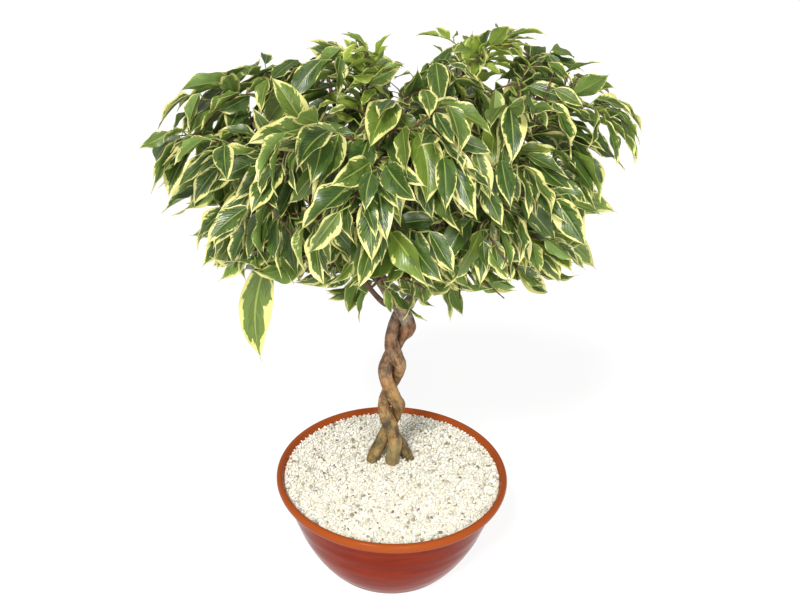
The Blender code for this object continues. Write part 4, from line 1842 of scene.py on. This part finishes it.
# ---------------------------------------------------------------------------------------------
# Wood
# ---------------------------------------------------------------------------------------------
def resample(points: Line, radii: Sequence[float], step: float) -> tuple[np.ndarray, np.ndarray]:
    """Even points and radii along a smooth line.

    Args:
        points: The line's knots.
        radii: The radius at each.
        step: The distance between the new points.

    Returns:
        The new points and radii.
    """
    fine = spline_points(points, 6)
    fine_radii = np.interp(np.linspace(0.0, len(points) - 1.0, len(fine)), range(len(points)), radii)
    line = np.array([tuple(p) for p in fine])
    lengths = np.concatenate([[0.0], np.cumsum(np.linalg.norm(np.diff(line, axis=0), axis=1))])
    even = np.linspace(0.0, lengths[-1], max(int(lengths[-1] / step) + 1, 4))
    moved = np.stack([np.interp(even, lengths, line[:, k]) for k in range(3)], axis=1)
    return moved, np.interp(even, lengths, fine_radii)


def sweep(line: np.ndarray, radii: np.ndarray, sides: int, knobbly: float = 0.0,
          seed: float = 0.0) -> tuple[np.ndarray, list[tuple[int, ...]], np.ndarray]:
    """A closed tube along a line, with an uneven surface.

    Args:
        line: The middle line.
        radii: The radius at each point.
        sides: How many sides the tube has.
        knobbly: How uneven it is, as a share of the radius.
        seed: Moves the unevenness.

    Returns:
        Vertices, faces and the straightened place of each vertex.
    """
    tangents = unit(np.gradient(line, axis=0))
    side = unit(np.cross(tangents[0], np.array([0.31, 0.90, 0.22])))
    angles = np.linspace(0.0, math.tau, sides, endpoint=False)
    along = np.concatenate([[0.0], np.cumsum(np.linalg.norm(np.diff(line, axis=0), axis=1))])
    rings, spaces = [], []
    for point, tangent, radius, distance in zip(line, tangents, radii, along):
        side = unit(side - tangent * side.dot(tangent))
        over = np.cross(tangent, side)
        spoke = np.cos(angles)[:, None] * side + np.sin(angles)[:, None] * over
        space = np.stack([np.cos(angles) * radius, np.sin(angles) * radius,
                          np.full(sides, distance)], axis=1)
        grown = np.full(sides, radius)
        if knobbly:
            for k in range(sides):
                spot = Vector((space[k][0] * 150.0, space[k][1] * 150.0, distance * 50.0 + seed))
                fine = Vector((space[k][0] * 250.0, space[k][1] * 250.0, distance * 130.0 + seed))
                grown[k] *= 1.0 + knobbly * (noise.noise(spot) + 0.28 * noise.noise(fine))
        rings.append(point + spoke * grown[:, None])
        spaces.append(space)
    count = len(line)
    faces = ring_faces(count - 1, sides)
    faces.append(tuple(reversed(range(sides))))
    faces.append(tuple(range((count - 1) * sides, count * sides)))
    return np.concatenate(rings), faces, np.concatenate(spaces)


@dataclass
class Wood:
    """The stems with their root legs, the branches and the twigs."""

    stem_sides: int = 40
    stem_step: float = 0.0010
    pressed: float = 0.94
    swell: float = 1.03
    stem_flares: tuple = (-0.06, 0.16)
    root_flare: float = 0.15
    root_swell: float = 1.05
    flare_top: float = 0.122
    flare_height: float = 0.018
    stem_knobs: float = 0.34
    root_knobs: float = 0.40
    branch_knobs: float = 0.07
    branch_sides: int = 14
    branch_step: float = 0.0016
    twig_step: float = 0.0020
    side_twig_radii: tuple = (0.00095, 0.00055)

    def pull_together(self, points: Line) -> Line:
        """The twisted part's points, moved in so that the strands press on each other.

        Args:
            points: The stem's points.

        Returns:
            The moved points.
        """
        moved = []
        for point in points:
            if TRUNK.first_crossing - 0.014 <= point.z <= TRUNK.twist_top + 0.006:
                height = min(max(point.z, TRUNK.middle_line[0][1]), TRUNK.twist_top)
                centre = (Growth.strand_point(height, 0.0) + Growth.strand_point(height, math.pi)) * 0.5
                level = Vector((point.x - centre.x, point.y - centre.y, 0.0)) * (1.0 - self.pressed)
                point = point - level
            moved.append(point)
        return moved

    def creases(self, vertices: np.ndarray, other: np.ndarray) -> np.ndarray:
        """How deep each vertex lies in the crease between the two stems, which sets the bark's painted
        shade.

        Args:
            vertices: The stem's vertices.
            other: The other stem's middle line.

        Returns:
            A number from 0 to 1 for each vertex.
        """
        nearest = np.full(len(vertices), 1.0)
        for start in range(0, len(vertices), 4000):
            block = vertices[start:start + 4000]
            gaps = np.linalg.norm(block[:, None, :] - other[None, :, :], axis=2)
            nearest[start:start + 4000] = gaps.min(axis=1)
        share = (1.62 * TRUNK.strand_radius - nearest) / (0.50 * TRUNK.strand_radius)
        return np.clip(share, 0.0, 1.0)

    def flare(self, line: np.ndarray) -> np.ndarray:
        """How far each point of a line is down the flare of its foot, from 0 to 1."""
        return np.clip((self.flare_top - line[:, 2]) / self.flare_height, 0.0, 1.0)

    def build_stems(self, stems: list[Stem], finish: bpy.types.Material) -> None:
        """Makes the two stems.

        Args:
            stems: Their lines and radii.
            finish: The bark.
        """
        laid = []
        for stem, share in zip(stems, self.stem_flares):
            points = self.pull_together(stem.below + stem.helix + stem.above)
            line, radii = resample(points, stem.radii, self.stem_step)
            flare = self.flare(line) * (np.arange(len(line)) < len(line) // 3)
            laid.append((line, radii * self.swell * (1.0 + share * flare ** 2)))
        for number, (stem, (line, radii)) in enumerate(zip(stems, laid)):
            batch = MeshBatch()
            other = laid[1 - number][0]
            vertices, faces, space = sweep(line, radii, self.stem_sides, self.stem_knobs, 7.0 * number)
            pale = 0.85 * np.clip((0.146 - vertices[:, 2]) / 0.012, 0.0, 1.0) if number == 0 else 0.0
            # The crease value sets how much painted shade the bark gets between the stems.
            batch.add(vertices, faces, stem_space=space + np.array([0.0, 0.0, number]),
                      crease=self.creases(vertices, other), pale=pale)
            for side, side_radii in stem.side_roots:
                root_line, root_radii = resample(self.pull_together(side), side_radii, self.stem_step)
                flare = self.flare(root_line)
                root_radii = root_radii * self.root_swell * (1.0 + self.root_flare * flare ** 2)
                vertices, faces, space = sweep(root_line, root_radii, self.stem_sides,
                                               self.root_knobs, 23.0)
                batch.add(vertices, faces, stem_space=space + np.array([0.0, 0.0, 5.0]),
                          crease=0.7 * self.creases(vertices, line), pale=0.0)
            mesh = batch.mesh(f"{stem.name}_bark", "bark_uv", math.radians(60))
            place(f"{stem.name}_bark", mesh, finish, Slot.BARK, stem.name)

    @staticmethod
    def from_inside(points: Line, depth: float) -> Line:
        """A child's line, carried back into its host."""
        back = (points[0] - points[1]).normalized() * depth
        return [points[0] + back, *points]

    def build_branches(self, branches: list[Host], finish: bpy.types.Material) -> None:
        """Makes the branches.

        Args:
            branches: Their lines and radii.
            finish: The bark.
        """
        for number, branch in enumerate(branches):
            points = self.from_inside(branch.points, 0.004)
            line, radii = resample(points, [branch.radii[0] * 1.15, *branch.radii], self.branch_step)
            radii = radii * (1.0 + 0.35 * np.exp(-np.arange(len(radii)) / 3.5))
            vertices, faces, space = sweep(line, radii, self.branch_sides, self.branch_knobs, 3.0 * number)
            batch = MeshBatch()
            space = space + np.array([0.0, 0.0, number])
            batch.add(vertices, faces, stem_space=space, crease=0.0, pale=0.0)
            mesh = batch.mesh(f"{branch.name}_bark", "bark_uv", math.radians(60))
            place(f"{branch.name}_bark", mesh, finish, Slot.BARK, branch.name)

    def build_twigs(self, shoots: list[Shoot], finish: bpy.types.Material) -> None:
        """Makes every shoot's twigs.

        Args:
            shoots: The shoots.
            finish: The bark.
        """
        for number, shoot in enumerate(shoots):
            batch = MeshBatch()
            start = self.from_inside(shoot.line, 0.0035)
            count = len(shoot.line)
            sizes = [CROWN.twig_radius * 1.25, *taper(CROWN.twig_radius, CROWN.twig_tip_radius, count)]
            stretches = [(start, sizes, 9)]
            for side_line in shoot.side_lines:
                stretches.append((side_line, taper(*self.side_twig_radii, len(side_line)), 7))
            for points, radii, sides in stretches:
                line, grown = resample(points, radii, self.twig_step)
                joints = 1.0 + 0.16 * np.cos(np.arange(len(line)) * 2.3)
                vertices, faces, space = sweep(line, grown * joints, sides)
                space = space + np.array([0.0, 0.0, number])
                batch.add(vertices, faces, stem_space=space, crease=0.0, pale=0.0)
            name = shoot.name.replace("shoot", "twig")
            place(name, batch.mesh(name, "bark_uv", math.radians(70)), finish, Slot.BARK,
                  *([shoot.node] if shoot.node else []))


# ---------------------------------------------------------------------------------------------
# Leaves
# ---------------------------------------------------------------------------------------------
@dataclass
class Foliage:
    """Every leaf as a thin, folded, wavy blade on a bent stalk."""

    seed: int = 41
    stations: int = 14
    across: int = 4
    thickness: float = 0.00036
    wave: float = 0.0022
    stalk_radius: float = 0.00055
    long_leaf: float = 0.085
    long_stretch: float = 1.20
    long_narrow: float = 0.92
    slimness: float = 0.455
    twist: float = 0.50
    curl: tuple = (0.05, 0.42)
    waves: tuple = (1.3, 2.6)
    bend: float = 0.035
    fold: tuple = (1.9, 0.5)
    rib: float = 0.0005

    def half_width(self, t: np.ndarray) -> np.ndarray:
        """The blade's half width along its midrib.

        Args:
            t: How far along the midrib each place is.

        Returns:
            The half widths, as shares of the widest.
        """
        body = np.sin(math.pi * np.minimum(t / 0.93, 1.0) ** 0.80) ** 0.85
        tail = np.where(t > 0.62, 0.115 * (1.0 - t) / 0.38 + 0.010, 0.0)
        return np.maximum(np.maximum(body, tail), 0.010)

    def blade(self, leaf: Leaf, rng: random.Random) -> tuple[np.ndarray, list, np.ndarray, np.ndarray]:
        """A leaf's blade.

        Args:
            leaf: The leaf.
            rng: The source of random numbers.

        Returns:
            Vertices, faces, UVs and how far each vertex belongs to the underside.
        """
        t = np.linspace(0.0, 1.0, self.stations) ** 0.92
        s = np.linspace(-1.0, 1.0, 2 * self.across + 1)
        width = self.half_width(t) * leaf.width * self.slimness
        axis, side, normal = (np.array(tuple(v)) for v in (leaf.axis, leaf.side, leaf.normal))
        twist = rng.gauss(0.0, self.twist) * t ** 1.5
        curl = rng.uniform(*self.curl)
        length = leaf.length
        if length > self.long_leaf:
            length *= self.long_stretch
            width = width * self.long_narrow
            twist, curl = twist * 0.1, 0.04
        waves = rng.uniform(*self.waves)
        phase = rng.random() * math.tau
        bend = rng.gauss(0.0, self.bend)
        middle = (np.array(tuple(leaf.base)) + length * (np.outer(t, axis)
                  - np.outer(leaf.droop * t ** 2 + curl * np.clip(t - 0.72, 0.0, 1.0) ** 2 * 3.0, normal)
                  + np.outer(bend * np.sin(math.pi * t), side)))
        tangent = unit(np.gradient(middle, axis=0))
        cross = np.cos(twist)[:, None] * side + np.sin(twist)[:, None] * normal
        cross = unit(cross - tangent * (cross * tangent).sum(axis=1, keepdims=True))
        over = np.cross(cross, tangent)
        reach = np.abs(s)
        fold = leaf.fold * (self.fold[0] - self.fold[1] * t)
        lift = fold[:, None] * reach[None, :] ** 1.3 * width[:, None]
        ripple = np.sin(math.tau * waves * t[:, None] + phase + 1.9 * np.sign(s)[None, :])
        lift = lift + (self.wave * (leaf.width / 0.025) * ripple * reach[None, :] ** 2.2
                       * np.sin(math.pi * t)[:, None] ** 0.6)
        surface = middle[:, None, :] + cross[:, None, :] * (width[:, None] * s[None, :])[:, :, None]
        surface = surface + over[:, None, :] * lift[:, :, None]
        thin = (0.5 * self.thickness * (1.0 - 0.45 * reach))[None, :, None]
        rib = (self.rib * np.clip(1.0 - reach * 6.0, 0.0, 1.0))[None, :, None]
        rib = rib * (1.0 - 0.7 * t)[:, None, None]
        top = surface + over[:, None, :] * thin
        bottom = surface - over[:, None, :] * (thin + rib)
        columns = len(s)
        vertices = np.concatenate([top.reshape(-1, 3), bottom.reshape(-1, 3)])
        uv = np.stack([np.broadcast_to((s * 0.5 + 0.5)[None, :], (len(t), columns)),
                       np.broadcast_to(t[:, None], (len(t), columns))], axis=2).reshape(-1, 2)
        underside = np.concatenate([np.zeros(len(uv)), np.ones(len(uv))])
        return vertices, self.blade_faces(len(t), columns), np.concatenate([uv, uv]), underside

    @staticmethod
    def blade_faces(rows: int, columns: int) -> list[tuple[int, ...]]:
        """Faces of a blade: top, underside and the rim between them.

        Args:
            rows: How many rows of vertices go across.
            columns: How many vertices each row has.

        Returns:
            The faces by vertex number.
        """
        faces = []
        under = rows * columns
        for i in range(rows - 1):
            for j in range(columns - 1):
                a, b = i * columns + j, (i + 1) * columns + j
                faces.append((a, b, b + 1, a + 1))
                faces.append((under + a, under + a + 1, under + b + 1, under + b))
            left, right = i * columns, i * columns + columns - 1
            faces.append((left, under + left, under + left + columns, left + columns))
            faces.append((right, right + columns, under + right + columns, under + right))
        for j in range(columns - 1):
            last = (rows - 1) * columns + j
            faces.append((j, j + 1, under + j + 1, under + j))
            faces.append((last, under + last, under + last + 1, last + 1))
        return faces

    def stalk(self, leaf: Leaf) -> tuple[np.ndarray, list[tuple[int, ...]]]:
        """A leaf's stalk, bent from the twig into the blade.

        Args:
            leaf: The leaf.

        Returns:
            Its vertices and faces.
        """
        knots = [leaf.root, leaf.root + leaf.stalk * LEAF.stalk * 0.55, leaf.base, leaf.midrib(0.10)]
        line, radii = resample(knots, [self.stalk_radius * r for r in (1.3, 1.0, 0.95, 0.35)], 0.0016)
        vertices, faces, _ = sweep(line, radii, 6)
        return vertices, faces

    def build(self, shoots: list[Shoot], finish: bpy.types.Material) -> int:
        """Makes every shoot's leaves.

        Args:
            shoots: The shoots.
            finish: The leaf finish.

        Returns:
            How many leaves there are.
        """
        rng = random.Random(self.seed)
        total = 0
        for shoot in shoots:
            batch = MeshBatch()
            for leaf in shoot.leaves:
                youth = rng.uniform(0.35, 1.0) if leaf.young else max(0.0, rng.gauss(-0.06, 0.22))
                seed = rng.random()
                vertices, faces, uv, underside = self.blade(leaf, rng)
                batch.add(vertices, faces, uv, underside=underside, leaf_seed=seed, leaf_youth=youth)
                vertices, faces = self.stalk(leaf)
                on_rib = np.tile([0.5, 0.5], (len(vertices), 1))
                batch.add(vertices, faces, on_rib, underside=0.5, leaf_seed=seed, leaf_youth=youth)
                total += 1
            name = shoot.name.replace("shoot", "leaves")
            place(name, batch.mesh(name, "leaf_uv", math.radians(48)), finish, Slot.LEAVES,
                  *([shoot.node] if shoot.node else []))
        return total


# ---------------------------------------------------------------------------------------------
# Studio
# ---------------------------------------------------------------------------------------------
@dataclass
class Studio:
    """The pale floor, the soft lights and the camera."""

    camera_distance: float = 0.846
    camera_rise: float = 0.636
    camera_side: float = 0.0024
    pitch: float = math.radians(27.34)
    roll: float = math.radians(1.87)
    lens: float = 45.0
    floor_size: float = 12.0
    floor_tone: float = 0.24
    floor_glow: float = 0.84
    world_strength: float = 0.36
    key_side: Vector = field(default_factory=lambda: Vector((-0.45, -1.10, 1.25)))
    key_strength: float = 2.85
    key_spread: float = math.radians(14.0)
    front_spot: Vector = field(default_factory=lambda: Vector((0.35, -1.60, 0.75)))
    sparkle_spot: Vector = field(default_factory=lambda: Vector((0.50, -1.10, 1.30)))

    def build(self) -> None:
        """Makes the whole studio."""
        self.floor()
        self.world()
        self.sun(self.key_side, self.key_strength, self.key_spread)
        self.lamp("front", self.front_spot, 0.6, 14.0, (1.0, 0.99, 0.97))
        self.lamp("sparkle", self.sparkle_spot, 0.14, 2.2, (1.0, 1.0, 1.0))
        self.camera()

    def floor(self) -> None:
        """The pale floor, which glows a little so that shadows on it stay faint."""
        mesh = bpy.data.meshes.new("floor")
        half = 0.5 * self.floor_size
        mesh.from_pydata([(-half, -half, -0.0002), (half, -half, -0.0002), (half, half, -0.0002),
                          (-half, half, -0.0002)], [], [(0, 1, 2, 3)])
        finish, _, shader = new_material("pale_floor", 0.8)
        shader.inputs["Base Color"].default_value = (*(self.floor_tone,) * 3, 1.0)
        shader.inputs["Specular IOR Level"].default_value = 0.0
        shader.inputs["Emission Color"].default_value = (1.0, 1.0, 1.0, 1.0)
        shader.inputs["Emission Strength"].default_value = self.floor_glow
        mesh.materials.append(finish)
        floor = bpy.data.objects.new("floor", mesh)
        bpy.context.scene.collection.objects.link(floor)

    def world(self) -> None:
        """The even light from all round."""
        world = bpy.data.worlds.new("studio")
        world.use_nodes = True
        background = world.node_tree.nodes["Background"]
        background.inputs["Color"].default_value = (1.0, 1.0, 1.0, 1.0)
        background.inputs["Strength"].default_value = self.world_strength
        bpy.context.scene.world = world
        bpy.context.scene.view_settings.view_transform = "Standard"

    @staticmethod
    def sun(spot: Vector, strength: float, spread: float) -> None:
        """A distant soft key light.

        Args:
            spot: The direction that it shines from.
            strength: Its strength.
            spread: Its angle, which softens the shadows.
        """
        light = bpy.data.lights.new("key", "SUN")
        light.energy = strength
        light.angle = spread
        light.color = (1.0, 0.99, 0.965)
        sun = bpy.data.objects.new("key", light)
        sun.rotation_euler = spot.to_track_quat("Z", "Y").to_euler()
        bpy.context.scene.collection.objects.link(sun)

    @staticmethod
    def lamp(name: str, spot: Vector, size: float, power: float, colour: Colour) -> None:
        """An area lamp that points at the tree.

        Args:
            name: Its name.
            spot: Where it hangs.
            size: Its side.
            power: Its power in watts.
            colour: Its colour.
        """
        light = bpy.data.lights.new(name, "AREA")
        light.size = size
        light.energy = power
        light.color = colour
        lamp = bpy.data.objects.new(name, light)
        lamp.location = spot
        target = Vector((0.0, 0.0, 0.28))
        lamp.rotation_euler = (target - spot).to_track_quat("-Z", "Y").to_euler()
        bpy.context.scene.collection.objects.link(lamp)

    def camera(self) -> None:
        """The camera."""
        data = bpy.data.cameras.new("camera")
        data.lens = self.lens
        data.sensor_width = 36.0
        camera = bpy.data.objects.new("camera", data)
        spot = Matrix.Translation((self.camera_side, -self.camera_distance, BOWL.height + self.camera_rise))
        tilt = Matrix.Rotation(0.5 * math.pi - self.pitch, 4, "X") @ Matrix.Rotation(self.roll, 4, "Z")
        camera.matrix_world = spot @ tilt
        bpy.context.scene.collection.objects.link(camera)
        bpy.context.scene.camera = camera


def main() -> None:
    """Builds the whole scene."""
    logging.basicConfig(level=logging.INFO, format="%(name)s: %(message)s")
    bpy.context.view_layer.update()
    Studio().build()
    palette = Palette()
    growth = Growth()
    growth.grow()
    solid_leaves = sum(len(shoot.leaves) for shoot in growth.shoots)
    LOG.info("%d shoots with %d leaves, as in the solid model", len(growth.shoots), solid_leaves)
    LOG.info("%d finer leaves", FineGrowth().fill(growth))
    BowlShell().build(GlazeFinish().build(palette))
    LOG.info("bowl")
    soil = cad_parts["soil"]
    soil.data.materials.clear()
    soil.data.materials.append(SoilFinish().build(palette))
    LOG.info("%d stones", GravelBed().build(StoneFinish().build(palette), TRUNK.legs_at_surface()))
    wood = Wood()
    wood.build_stems(growth.stems, TRUNK_BARK.build(palette))
    twig_bark = TWIG_BARK.build(palette)
    wood.build_branches(growth.branches, twig_bark)
    wood.build_twigs(growth.shoots, twig_bark)
    LOG.info("stems, branches and twigs")
    LOG.info("%d leaves in all", Foliage().build(growth.shoots, LeafFinish().build(palette)))


if __name__ == "__main__":
    main()
